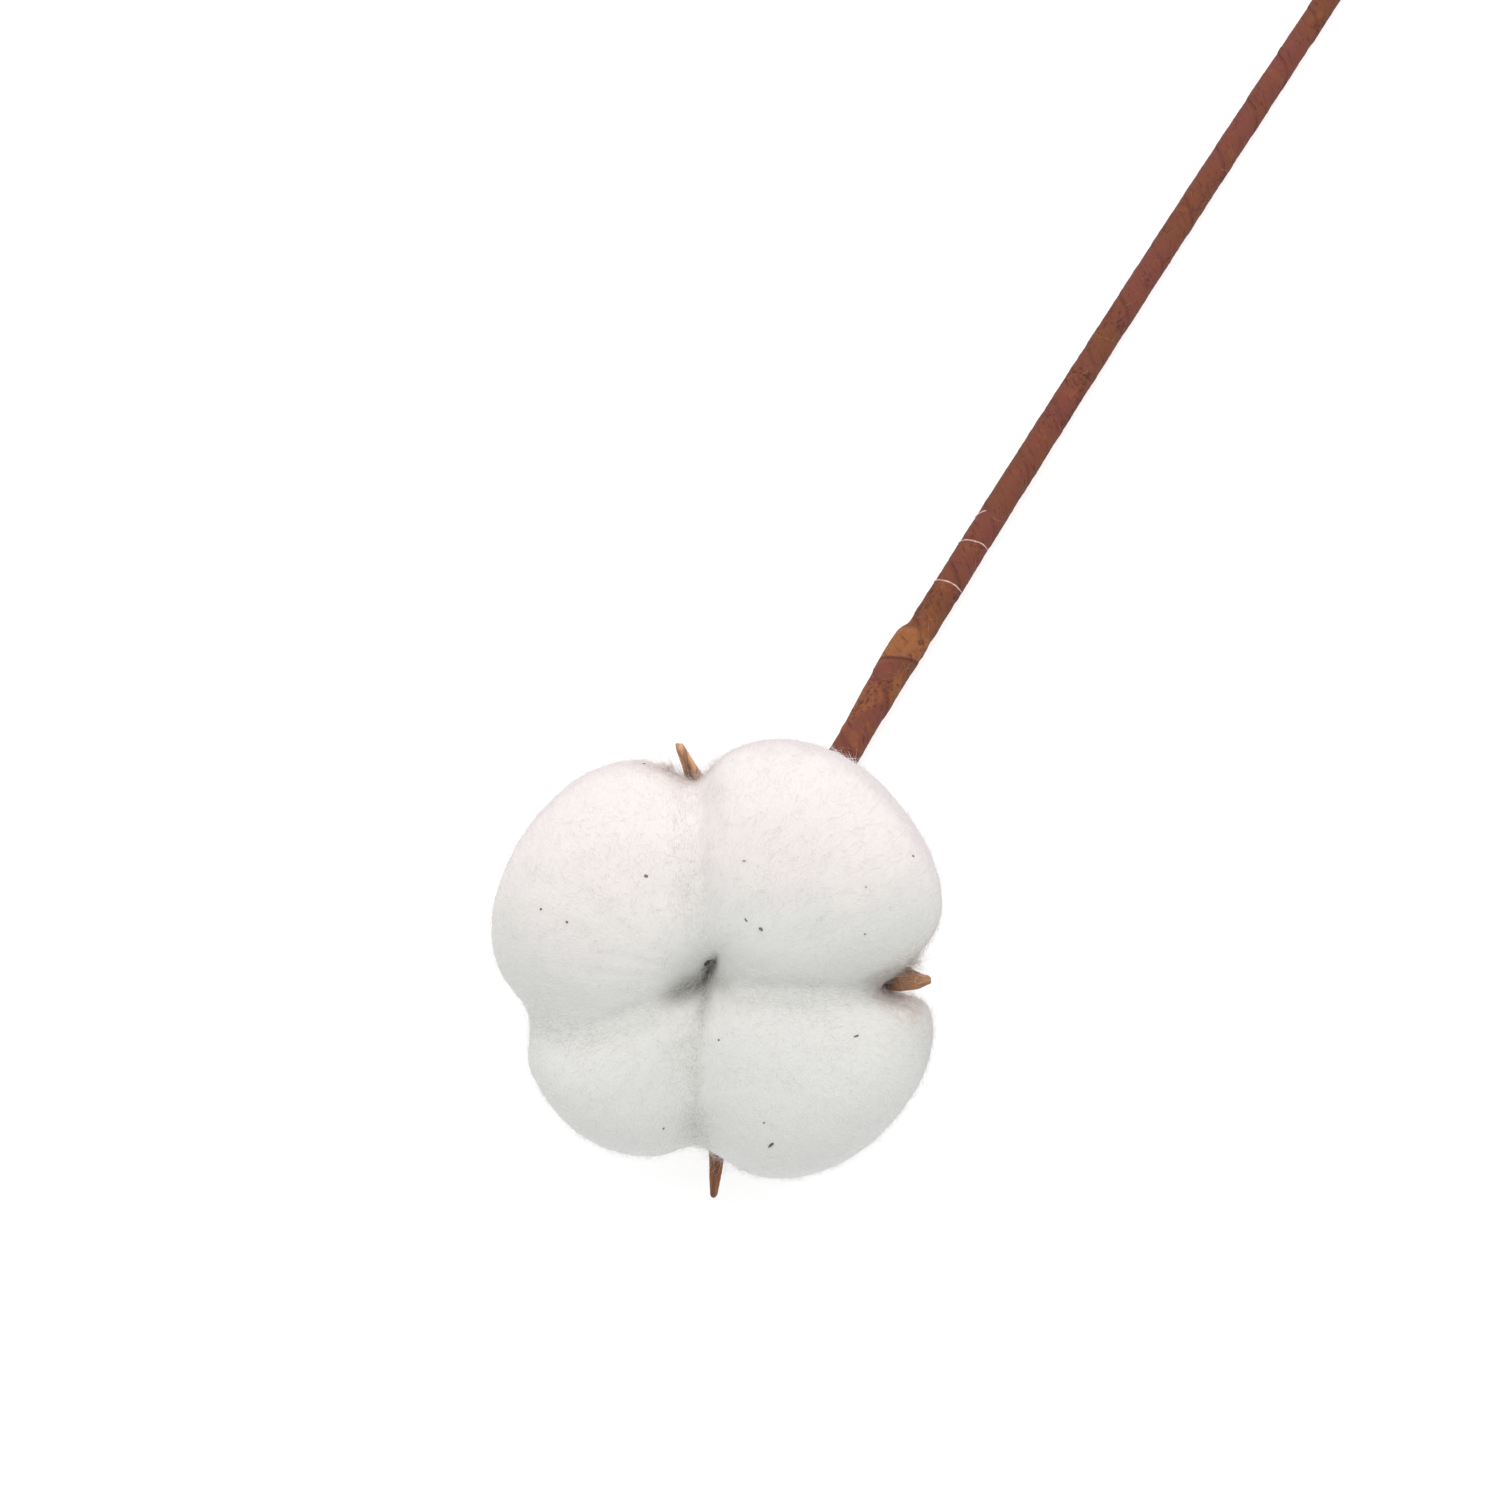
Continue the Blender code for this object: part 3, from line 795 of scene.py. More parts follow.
def settle(piece: bpy.types.Object) -> bpy.types.Mesh:
    """Turns what a piece's modifiers make into a plain mesh, and takes them off it.

    Args:
        piece: The piece.

    Returns:
        Its new mesh.
    """
    graph = bpy.context.evaluated_depsgraph_get()
    made = bpy.data.meshes.new_from_object(piece.evaluated_get(graph))
    piece.modifiers.clear()
    if piece.type == "MESH":
        piece.data = made
    return made


def melted(piece: bpy.types.Object) -> bpy.types.Mesh:
    """Settles a piece, takes it out of the scene and gives its mesh."""
    made = settle(piece)
    bpy.data.objects.remove(piece, do_unlink=True)
    return made


def shaped(piece: bpy.types.Object, tree: bpy.types.NodeTree, values: Mapping[str, Any]) -> bpy.types.Object:
    """Gives a piece a Geometry Nodes tree with its inputs set.

    Args:
        piece: The piece.
        tree: The tree.
        values: The values of its inputs, by their names.

    Returns:
        The piece, not settled yet.
    """
    modifier = piece.modifiers.new(tree.name, "NODES")
    modifier.node_group = tree
    for item in tree.interface.items_tree:
        if item.item_type == "SOCKET" and item.in_out == "INPUT" and item.name in values:
            modifier[item.identifier] = values[item.name]
    return piece


def remeshed(mesh: bpy.types.Mesh, voxel: float) -> bpy.types.Mesh:
    """Gives a closed mesh an even skin of small faces.

    Args:
        mesh: The mesh.
        voxel: The size of the faces.

    Returns:
        The new mesh.
    """
    piece = add_piece("remeshing", mesh)
    modifier = piece.modifiers.new("even", "REMESH")
    modifier.mode = "VOXEL"
    modifier.voxel_size = voxel
    return melted(piece)


class Skin:
    """The points and edges of a mesh as arrays, for softening and raising its surface."""

    def __init__(self, mesh: bpy.types.Mesh) -> None:
        """Reads the mesh.

        Args:
            mesh: The mesh.
        """
        self.mesh = mesh
        self.points = np.empty(len(mesh.vertices) * 3, np.float32)
        mesh.vertices.foreach_get("co", self.points)
        self.points = self.points.reshape(-1, 3).astype(float)
        ends = np.empty(len(mesh.edges) * 2, np.int32)
        mesh.edges.foreach_get("vertices", ends)
        self.ends = ends.reshape(-1, 2)
        self.counts = np.bincount(self.ends.ravel(), minlength=len(self.points)).astype(float)
        # the share of painted shade that the wells give each point
        self.sunk = np.zeros(len(self.points))

    def middle_of_neighbours(self) -> np.ndarray:
        """Works out the mean of each point's neighbours.

        Returns:
            One mean a point.
        """
        total = np.empty_like(self.points)
        first, second = self.ends[:, 0], self.ends[:, 1]
        size = len(self.points)
        for k in range(3):
            column = self.points[:, k]
            total[:, k] = np.bincount(first, column[second], size) + np.bincount(second, column[first], size)
        return total / self.counts[:, None]

    def soften(self, share: np.ndarray | float, rounds: int) -> None:
        """Draws every point towards its neighbours.

        Args:
            share: How far, from 0 to 1, for all points or for each.
            rounds: How many times.
        """
        share = np.broadcast_to(np.asarray(share, float), (len(self.points),))[:, None]
        for _ in range(rounds):
            self.points += (self.middle_of_neighbours() - self.points) * share

    def write(self) -> None:
        """Puts the points back into the mesh."""
        self.mesh.vertices.foreach_set("co", self.points.astype(np.float32).ravel())
        self.mesh.update()

    def normals(self) -> np.ndarray:
        """Works out the surface's normals as the points stand now.

        Returns:
            One normal a point.
        """
        self.write()
        out = np.empty(len(self.points) * 3, np.float32)
        self.mesh.vertex_normals.foreach_get("vector", out)
        return out.reshape(-1, 3).astype(float)

    def store(self, name: str, values: np.ndarray) -> None:
        """Keeps a number or a vector for each point in the mesh.

        Args:
            name: What it is called.
            values: One value a point.
        """
        vector = values.ndim == 2
        attribute = self.mesh.attributes.new(name, "FLOAT_VECTOR" if vector else "FLOAT", "POINT")
        attribute.data.foreach_set("vector" if vector else "value", values.astype(np.float32).ravel())

    def tree(self) -> BVHTree:
        """Makes a search tree over the surface as the points stand now."""
        faces = [list(face.vertices) for face in self.mesh.polygons]
        return BVHTree.FromPolygons([Vector(p) for p in self.points], faces)


def distances(points: np.ndarray, trees: Sequence[BVHTree]) -> np.ndarray:
    """Measures how far each point is from each of several surfaces.

    Args:
        points: The points.
        trees: The surfaces.

    Returns:
        One row for each point, with a distance for each surface.
    """
    return np.array([[tree.find_nearest(Vector(p))[3] for tree in trees] for p in points])


def eased(values: np.ndarray | float, start: float, end: float) -> np.ndarray:
    """Steps smoothly from 0 at start to 1 at end."""
    share = np.clip((np.asarray(values, float) - start) / (end - start), 0.0, 1.0)
    return share * share * (3 - 2 * share)


def rough(points: np.ndarray, scale: float, offset: float) -> np.ndarray:
    """Reads a soft noise from -1 to 1 at each point.

    Args:
        points: Where it is read.
        scale: How fine it is, in waves a unit of the points.
        offset: Which part of the noise is used.

    Returns:
        The noise.
    """
    shift = Vector((offset, offset * 0.7, -offset * 1.3))
    return np.array([noise.noise(Vector(p) * scale + shift) for p in points])


def wound(own: np.ndarray, waves: float, third: np.ndarray) -> np.ndarray:
    """Winds points round the boll's axis, for a noise that is drawn out along the third direction.

    Args:
        own: The points in the boll's own frame.
        waves: How fine the noise is round the axis.
        third: Each point's place in the third direction.

    Returns:
        The wound points.
    """
    around = np.arctan2(own[:, 1], own[:, 0])
    return np.stack([np.cos(around) * waves, np.sin(around) * waves, third], axis=1)


@dataclass(frozen=True)
class Well:
    """A soft hollow or shift of the cotton, at a pixel.

    It has a half length and width, a turn, a depth, the share of painted shade in it, and a push to the right
    and up. Lengths are in mm and turns in degrees. Those of the boll are, in order: the slit and its pocket,
    the fine creases along the grooves, the hollows at the burr's points, and the shifts of the outline, with
    among them one patch of painted shade near the right point.
    """

    pixel: Pair
    reach: Pair
    turn: float = 0.0
    depth: float = 0.0
    dark: float = 0.0
    push: Pair = (0.0, 0.0)


@dataclass
class Boll:
    """The cotton: one soft surface over the four locks, shared out between them, with its fuzz."""

    placement: BollPlacement
    camera: PhotoCamera
    swell: float = 2.3 * MM
    kept_swell: float = 0.10 * MM
    voxel: float = 0.44 * MM
    rounding: int = 70
    softening: int = 45
    under_burr: float = 0.16 * MM
    wells: tuple[Well, ...] = (
        Well((708, 971), (1.8, 0.6), 64, 4.6, 0.62),
        Well((688, 992), (3.0, 1.4), 24, 2.3, 0.64),
        Well((702, 1008), (2.4, 0.6), 82, 0.8, 0.34),
        Well((704, 985), (4.4, 3.0), 75, 0.9, 0.05),
        Well((694, 1080), (9.0, 0.8), 88, 0.50, 0.06),
        Well((628, 1010), (4.8, 0.8), 24, 0.20, 0.02),
        Well((702, 870), (8.0, 0.8), 93, 0.35, 0.03),
        Well((800, 987), (9.0, 0.8), 0, 0.35, 0.04),
        Well((893, 984), (6.0, 2.3), 4, 4.0, 0.04),
        Well((918, 982), (4.4, 1.3), 4, 1.0, 0.02, (-3.2, 0.0)),
        Well((700, 800), (4.0, 2.2), 105, 1.2, 0.03),
        Well((697, 1140), (3.6, 2.2), 80, 1.4, 0.12),
        Well((699, 780), (2.8, 2.8), push=(0.0, -1.9)),
        # a patch of painted shade with no hollow, near the right point
        Well((939, 1042), (3.0, 5.5), dark=0.14),
        Well((745, 752), (6.5, 6.0), push=(0.0, -1.4)),
        Well((570, 1100), (9.0, 6.0), -50, push=(-0.5, -0.3)),
        Well((522, 1045), (5.5, 5.5), push=(-0.8, 0.0)),
        Well((672, 1150), (5.0, 3.4), push=(0.0, 0.9)),
    )
    lump_height: float = 0.22 * MM
    tuft_height: float = 0.08 * MM
    comb_height: float = 0.07 * MM
    lump_size: float = 9.0 * MM
    tuft_size: float = 2.6 * MM
    comb_size: float = 6.0 * MM
    hair_size: float = 1.2 * MM
    tuft_places: tuple[Pair, ...] = ((852, 760), (902, 957), (905, 962))
    tuft_reach: Pair = (2.8 * MM, 0.8 * MM)
    front: Pair = (12 * MM, 5 * MM)
    off_floor: Pair = (0.1 * MM, 0.8 * MM)
    bare_by_burr: Pair = (0.25 * MM, 0.6 * MM)
    dusty_by_burr: Pair = (3.2 * MM, 0.3 * MM)
    tufted_by_burr: Pair = (2.6 * MM, 0.4 * MM)
    tip_reach: Pair = (14.0 * MM, 4.0 * MM)
    tip_to_burr: Pair = (8.5 * MM, 2.0 * MM)
    under_side: Pair = (-2.0 * MM, -7.0 * MM)
    crease_reach: Pair = (4.6 * MM, 2.2 * MM)
    strand_reach: Pair = (6.0 * MM, 3.0 * MM)

    def outer_skin(self) -> Skin:
        """Joins the swollen locks under one even skin and draws it back over them, which rounds the grooves.

        Returns:
            The skin.
        """
        joined = bmesh.new()
        for lock in LockName:
            copy = merged_copy(lock.value)
            copy.normal_update()
            shifts = [vertex.normal * self.swell for vertex in copy.verts]
            for vertex, shift in zip(copy.verts, shifts, strict=True):
                vertex.co += shift
            swollen = mesh_of(copy, lock.value + "_swollen")
            joined.from_mesh(swollen)
            bpy.data.meshes.remove(swollen)
        skin = Skin(largest_part(remeshed(mesh_of(joined, "cotton_swollen"), self.voxel)))
        skin.soften(0.5, self.rounding)
        skin.points -= skin.normals() * (self.swell - self.kept_swell)
        skin.soften(0.5, self.softening)
        return skin

    def under_pixel(self, tree: BVHTree, pixel: Pair) -> Vector:
        """Finds the point of a surface that stands at a pixel of the photograph.

        Args:
            tree: The surface.
            pixel: The pixel.

        Returns:
            The point.
        """
        start, direction = self.camera.ray(Vector(self.placement.centre), pixel)
        place = tree.ray_cast(start, direction)[0]
        return place if place is not None else tree.find_nearest(start + direction * self.camera.distance)[0]

    def build(self, burr: bpy.types.Object) -> dict[LockName, bpy.types.Object]:
        """Builds the four locks.

        Args:
            burr: The burr's piece, under which they are tucked.

        Returns:
            The pieces, by their locks.
        """
        skin = self.outer_skin()
        log.info("cotton skin: %d points", len(skin.points))
        burr_tree = surface_tree([burr])
        locks = []
        for lock in LockName:
            copy = merged_copy(lock.value)
            locks.append(BVHTree.FromBMesh(copy))
            copy.free()
        to_locks = distances(skin.points, locks)
        self.sink_wells(skin)
        self.raise_lint(skin)
        self.tuck_under(skin, burr_tree)
        skin.points[:, 2] = np.maximum(skin.points[:, 2], 0.0)
        self.store_marks(skin, distances(skin.points, [burr_tree])[:, 0], np.sort(to_locks, axis=1))
        skin.write()
        owners = to_locks.argmin(axis=1)
        shares = [int(np.bincount(owners[list(face.vertices)]).argmax()) for face in skin.mesh.polygons]
        return {lock: self.share_out(skin.mesh, lock, [share == index for share in shares])
                for index, lock in enumerate(LockName)}

    def sink_wells(self, skin: Skin) -> None:
        """Sinks and shifts the cotton at its wells, the slit where the four locks meet among them.

        Args:
            skin: The surface.
        """
        whole = skin.tree()
        inward = -self.placement.directions()[:, 2]
        sight = self.camera.frame(Vector(self.placement.centre)).to_3x3()
        across, up = np.array(sight.col[0]), np.array(sight.col[1])
        shift = np.zeros_like(skin.points)
        for well in self.wells:
            away = skin.points - np.array(self.under_pixel(whole, well.pixel))
            right, high = away @ across, away @ up
            turn = math.radians(well.turn)
            lengthwise = (right * math.cos(turn) + high * math.sin(turn)) / (well.reach[0] * MM)
            sideways = (high * math.cos(turn) - right * math.sin(turn)) / (well.reach[1] * MM)
            near = np.exp(-(lengthwise**2 + sideways**2))
            front = near * eased(away @ inward, *self.front)
            shift += near[:, None] * (across * well.push[0] + up * well.push[1]) * MM
            shift += front[:, None] * inward * well.depth * MM
            # painted shade: each well darkens the lint in its hollow by its share
            skin.sunk += front * well.dark
        skin.points += shift

    def raise_lint(self, skin: Skin) -> None:
        """Gives the surface its soft lumps, tufts and combed ridges.

        Args:
            skin: The surface.
        """
        own = self.placement.own(skin.points)
        combed = wound(own, 9.0, np.linalg.norm(own, axis=1) / self.comb_size)
        height = (rough(skin.points, 1 / self.lump_size, 3.0) * self.lump_height
                  + rough(skin.points, 1 / self.tuft_size, 11.0) * self.tuft_height
                  + rough(combed, 1.0, 5.0) * self.comb_height)
        skin.points += skin.normals() * height[:, None]

    def tuck_under(self, skin: Skin, burr: BVHTree) -> None:
        """Draws the cotton in under the burr wherever the burr would run through it.

        Args:
            skin: The surface.
            burr: The burr's surface.
        """
        centre = Vector(self.placement.centre)
        for index, place in enumerate(skin.points):
            outward = Vector(place) - centre
            reach = outward.length
            struck = burr.ray_cast(centre, outward.normalized())[3]
            if struck is not None and struck - self.under_burr < reach:
                skin.points[index] = centre + outward * ((struck - self.under_burr) / reach)

    def store_marks(self, skin: Skin, to_burr: np.ndarray, to_locks: np.ndarray) -> None:
        """Keeps what the fuzz and the material read.

        Args:
            skin: The surface.
            to_burr: Its points' distances from the burr.
            to_locks: Their distances from the locks, the nearest first.
        """
        own = self.placement.own(skin.points)
        off_floor = eased(skin.points[:, 2], *self.off_floor)
        whole = skin.tree()
        chosen = np.zeros(len(skin.points))
        for pixel in self.tuft_places:
            away = np.linalg.norm(skin.points - np.array(self.under_pixel(whole, pixel)), axis=1)
            chosen = np.maximum(chosen, eased(away, *self.tuft_reach))
        to_tips = tip_places()[None, :, :] - own[:, None, :]
        spans = np.linalg.norm(to_tips, axis=2)
        each, nearest = np.arange(len(own)), spans.argmin(axis=1)
        span = spans[each, nearest]
        turn = self.placement.directions()
        by_tip = eased(span, *self.tip_reach) * eased(to_burr, *self.tip_to_burr)
        by_tip *= 1 - eased(own[:, 2], *self.under_side)
        crease = np.maximum(eased(to_locks[:, 1], *self.crease_reach), skin.sunk * 1.5)
        tufted = np.maximum(np.maximum(eased(to_burr, *self.tufted_by_burr), chosen), by_tip * 0.8)
        facing = skin.normals()
        level = facing @ turn[:, 2]
        marks = {
            "coat": eased(to_burr, *self.bare_by_burr) * off_floor * (1 - eased(skin.sunk, 0.4, 0.8)),
            "dust": np.maximum(eased(to_burr, *self.dusty_by_burr), by_tip * 0.8),
            # crease: near the grooves, where the wisps grow and the painted shade lines are stronger
            "crease": crease * off_floor,
            "tufted": tufted * off_floor,
            "stranded": by_tip * eased(to_locks[:, 1], *self.strand_reach) * off_floor,
            "combed": wound(own, 60.0, np.linalg.norm(own, axis=1) / self.hair_size),
            "aim": ((to_tips[each, nearest] / span[:, None]) @ turn.T) * by_tip[:, None],
            "by_hole": eased(skin.sunk, 0.15, 0.45),
            # painted shade in the wells, from 0 to 1
            "sunk": np.clip(skin.sunk, 0.0, 1.0),
            "facing": facing,
            # painted shade: strongest on the flanks that turn away from the open face, weaker underneath
            "flank": eased(level, 0.42, -0.05) * (1 - 0.6 * eased(level, -0.10, -0.45)),
        }
        for name, values in marks.items():
            skin.store(name, values)

    def share_out(self, mesh: bpy.types.Mesh, lock: LockName, owned: Sequence[bool]) -> bpy.types.Object:
        """Cuts one lock out of the common surface and closes it inside the boll.

        Args:
            mesh: The common surface.
            lock: The lock.
            owned: Which of the faces are the lock's.

        Returns:
            The lock's piece.
        """
        share = bmesh.new()
        share.from_mesh(mesh)
        others = [face for face, own in zip(share.faces, owned, strict=True) if not own]
        bmesh.ops.delete(share, geom=others, context="FACES")
        rim = [edge for edge in share.edges if edge.is_boundary]
        inner = share.faces.layers.int.new("inner")
        low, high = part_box(lock.value)
        heart = share.verts.new((low + high) / 2)
        for edge in rim:
            loop = edge.link_loops[0]
            share.faces.new((loop.link_loop_next.vert, loop.vert, heart))[inner] = 1
        for face in share.faces:
            face.smooth = True
        part = mesh_of(share, lock.value + "_lint")
        facing = np.empty(len(part.vertices) * 3, np.float32)
        part.attributes["facing"].data.foreach_get("vector", facing)
        part.attributes.remove(part.attributes["facing"])
        part.normals_split_custom_set_from_vertices(facing.reshape(-1, 3))
        return add_piece(lock.value + "_lint", part)


def largest_part(mesh: bpy.types.Mesh) -> bpy.types.Mesh:
    """Keeps only the largest connected part of a mesh.

    Args:
        mesh: The mesh.

    Returns:
        The same mesh without its smaller parts.
    """
    whole = bmesh.new()
    whole.from_mesh(mesh)
    left = set(whole.verts)
    parts = []
    while left:
        part = {left.pop()}
        front = list(part)
        while front:
            vertex = front.pop()
            for edge in vertex.link_edges:
                other = edge.other_vert(vertex)
                if other in left:
                    left.discard(other)
                    part.add(other)
                    front.append(other)
        parts.append(part)
    keep = max(parts, key=len)
    bmesh.ops.delete(whole, geom=[v for v in whole.verts if v not in keep], context="VERTS")
    whole.to_mesh(mesh)
    whole.free()
    return mesh


@dataclass(frozen=True)
class FibreCoat:
    """One kind of fibre growing on a surface.

    The mark is the value on the surface that says how thickly it grows. Lift is how far it stands off the
    surface, pull how strongly it follows the surface's aim, and drift how fine its eddies are.
    """

    name: str
    mark: str
    per_square_mm: float
    length: float
    thickness: float
    lift: float
    curl: float
    seed: int
    segments: int = 3
    drift: float = 140.0
    pull: float = 0.0

    def tree(self) -> bpy.types.NodeTree:
        """Builds the Geometry Nodes tree that grows the fibres.

        Returns:
            The tree.
        """
        nodes = ShapeNodes(self.name, {
            "Surface": "Geometry", "Fibres a Square Metre": "Float", "Length": "Float", "Thickness": "Float",
            "Lift": "Float", "Curl": "Float", "Pull": "Float", "Seed": "Int", "Material": "Material"})
        given = nodes.given
        density = nodes.kept(self.mark) * (1.0 - nodes.kept("inner", "INT")) * given["Fibres a Square Metre"]
        spread = nodes.node("GeometryNodeDistributePointsOnFaces", {},
                            {"Mesh": given["Surface"], "Density": density, "Seed": given["Seed"]})
        own = nodes.node("FunctionNodeRandomValue", {"data_type": "FLOAT_VECTOR"},
                         {0: (-1.0, -1.0, -1.0), 1: (1.0, 1.0, 1.0), "Seed": given["Seed"]})
        normal = nodes.arrow(spread, "Normal")
        flow = nodes.drift(nodes.here(), self.drift)
        aim = nodes.kept("aim", "FLOAT_VECTOR")
        heading = flow.scaled(4.0) + nodes.arrow(own) + aim.scaled(given["Pull"])
        lying = (heading - normal.scaled(heading.dot(normal))).unit()
        direction = lying + normal.scaled(nodes.chance(0.15, 1.0, 5) * given["Lift"])
        turned = nodes.node("FunctionNodeAlignRotationToVector", {}, {"Vector": direction})
        long = nodes.chance(0.5, 1.5, 9)
        straight = nodes.node("GeometryNodeCurvePrimitiveLine", {}, {"End": (0.0, 0.0, 1.0)})
        strand = nodes.node("GeometryNodeResampleCurve", {},
                            {"Curve": straight.outputs[0], "Count": self.segments + 1})
        along = nodes.node("GeometryNodeSplineParameter")
        strand = nodes.keep(strand.outputs[0], "along", along.outputs[0])
        points = nodes.keep(spread.outputs[0], "own", own.outputs[0], "FLOAT_VECTOR")
        placed = nodes.node("GeometryNodeInstanceOnPoints", {},
                            {"Points": points, "Instance": strand, "Rotation": turned.outputs[0],
                             "Scale": nodes.joined(1.0, 1.0, long * given["Length"])})
        real = nodes.node("GeometryNodeRealizeInstances", {}, {0: placed.outputs[0]})
        t = nodes.kept("along")
        at = nodes.here()
        swirl = nodes.drift(at.scaled(1 / self.length) + nodes.kept("own", "FLOAT_VECTOR").scaled(9.0), 1.1)
        curled = nodes.moved(real.outputs[0], at + swirl.scaled(t * given["Curl"]), 0.02 * MM)
        thin = nodes.node("GeometryNodeCurvePrimitiveCircle", {},
                          {"Resolution": 3, "Radius": given["Thickness"]})
        taper = (1.0 - t * t * 0.8) * 0.5
        solid = nodes.node("GeometryNodeCurveToMesh", {}, {"Curve": curled, "Fill Caps": True,
                                                           "Profile Curve": thin.outputs[0], "Scale": taper})
        return nodes.ended(solid.outputs[0], ("along", "own"))

    def grow(self, surface: bpy.types.Object, name: str, material: bpy.types.Material) -> bpy.types.Object:
        """Grows the fibres on a surface.

        Args:
            surface: The surface, which holds the mark that says how thickly they grow.
            name: The name of the new piece.
            material: The fibres' material.

        Returns:
            The piece.
        """
        piece = shaped(add_piece(name, surface.data.copy()), self.tree(), {
            "Fibres a Square Metre": self.per_square_mm / MM**2, "Length": self.length,
            "Thickness": self.thickness, "Lift": self.lift, "Curl": self.curl, "Pull": self.pull,
            "Seed": self.seed, "Material": material})
        settle(piece)
        return piece


LINT_COATS = (
    FibreCoat("fuzz", "coat", per_square_mm=2.0, length=1.6 * MM, thickness=0.025 * MM, lift=0.55,
              curl=1.1 * MM, seed=3),
    FibreCoat("wisps", "crease", per_square_mm=0.9, length=4.0 * MM, thickness=0.030 * MM, lift=0.25,
              curl=2.4 * MM, seed=4, segments=6),
    FibreCoat("tufts", "tufted", per_square_mm=3.4, length=2.3 * MM, thickness=0.030 * MM, lift=0.6,
              curl=1.6 * MM, seed=5, segments=5, pull=6.0),
    FibreCoat("bridges", "by_hole", per_square_mm=9.0, length=3.0 * MM, thickness=0.026 * MM, lift=0.5,
              curl=2.2 * MM, seed=8, segments=6),
    FibreCoat("strands", "stranded", per_square_mm=3.6, length=5.0 * MM, thickness=0.028 * MM, lift=0.16,
              curl=1.5 * MM, seed=9, segments=7, pull=9.0),
)
STUCK_LINT = FibreCoat("stuck_lint", "tufted", per_square_mm=3.0, length=2.2 * MM, thickness=0.028 * MM,
                       lift=0.35, curl=1.6 * MM, seed=14, segments=5)
PAPER_NAP = FibreCoat("nap", "nap", per_square_mm=0.40, length=1.4 * MM, thickness=0.020 * MM, lift=0.30,
                      curl=0.5 * MM, seed=12, segments=4)


@dataclass
class Burr:
    """The dried burr with its ribbed valves."""

    placement: BollPlacement
    voxel: float = 0.28 * MM
    rib_depth: float = 0.10 * MM
    stouter: float = 0.23 * MM
    right_point: Place = (0.0238, -0.0013, 0.0005)
    right_point_bend: Pair = (2.2 * MM, 0.45 * MM)
    right_point_shift: Pair = (-0.75 * MM, -0.95 * MM)
    tufted_place: Place = (0.0258, 0.0004, 0.0055)
    bend_reach: float = 4.5 * MM
    shift_reach: Pair = (10 * MM, 5 * MM)
    tuft_reach: float = 1.3 * MM
    lint_from: Pair = (3.0 * MM, 6.0 * MM)
    lint_until: Pair = (10.0 * MM, 8.0 * MM)
    grain_length: float = 5.0 * MM
    base_z: float = -15.0 * MM
    point_z: float = 2.0 * MM

    def build(self) -> bpy.types.Object:
        """Builds the burr's piece.

        Returns:
            The piece.
        """
        skin = Skin(remeshed(mesh_of(merged_copy("burr"), "burr_husk"), self.voxel))
        log.info("burr skin: %d points", len(skin.points))
        skin.soften(0.5, 1)
        own = self.placement.own(skin.points)
        grain = wound(own, 16.0, own[:, 2] / self.grain_length)
        on_cup = eased(own[:, 2], self.base_z - 5 * MM, self.base_z - 1 * MM)
        ribs = rough(grain, 1.0, 2.0) * self.rib_depth * on_cup
        at_point = eased(own[:, 2], self.point_z - 9 * MM, self.point_z)
        skin.points += skin.normals() * (ribs + at_point * self.stouter)[:, None]
        self.bend_right_point(skin, own)
        skin.points[:, 2] = np.maximum(skin.points[:, 2], 0.0)
        span = np.linalg.norm(tip_places()[None, :, :] - own[:, None, :], axis=2).min(axis=1)
        stuck = eased(span, *self.lint_from) * eased(span, *self.lint_until) * 0.7
        tuft = np.exp(-((np.linalg.norm(own - self.tufted_place, axis=1) / self.tuft_reach) ** 2)) * 2.0
        skin.store("tufted", np.maximum(stuck, tuft))
        skin.store("grain", grain * np.array([3.0, 3.0, 1.0]))
        skin.store("towards_point", eased(own[:, 2], self.base_z, self.point_z))
        skin.write()
        skin.mesh.shade_smooth()
        return add_piece("burr_husk", skin.mesh)

    def bend_right_point(self, skin: Skin, own: np.ndarray) -> None:
        """Lifts, widens and shifts the point that lies at the picture's right.

        Args:
            skin: The burr's surface.
            own: Its points in the boll's own frame, before anything was raised.
        """
        span = np.linalg.norm(own - self.right_point, axis=1)
        near = np.exp(-((span / self.bend_reach) ** 2))
        turn = self.placement.directions()
        rise, wider = self.right_point_bend
        skin.points += near[:, None] * turn[:, 2] * rise
        aside = own[:, 1] - self.right_point[1]
        skin.points += (near * np.clip(aside / MM, -1.0, 1.0) * wider)[:, None] * turn[:, 1]
        sight = np.array(PhotoCamera().frame(Vector(self.placement.centre)).to_3x3())
        shift = sight[:, 0] * self.right_point_shift[0] + sight[:, 1] * self.right_point_shift[1]
        skin.points += eased(span, *self.shift_reach)[:, None] * shift


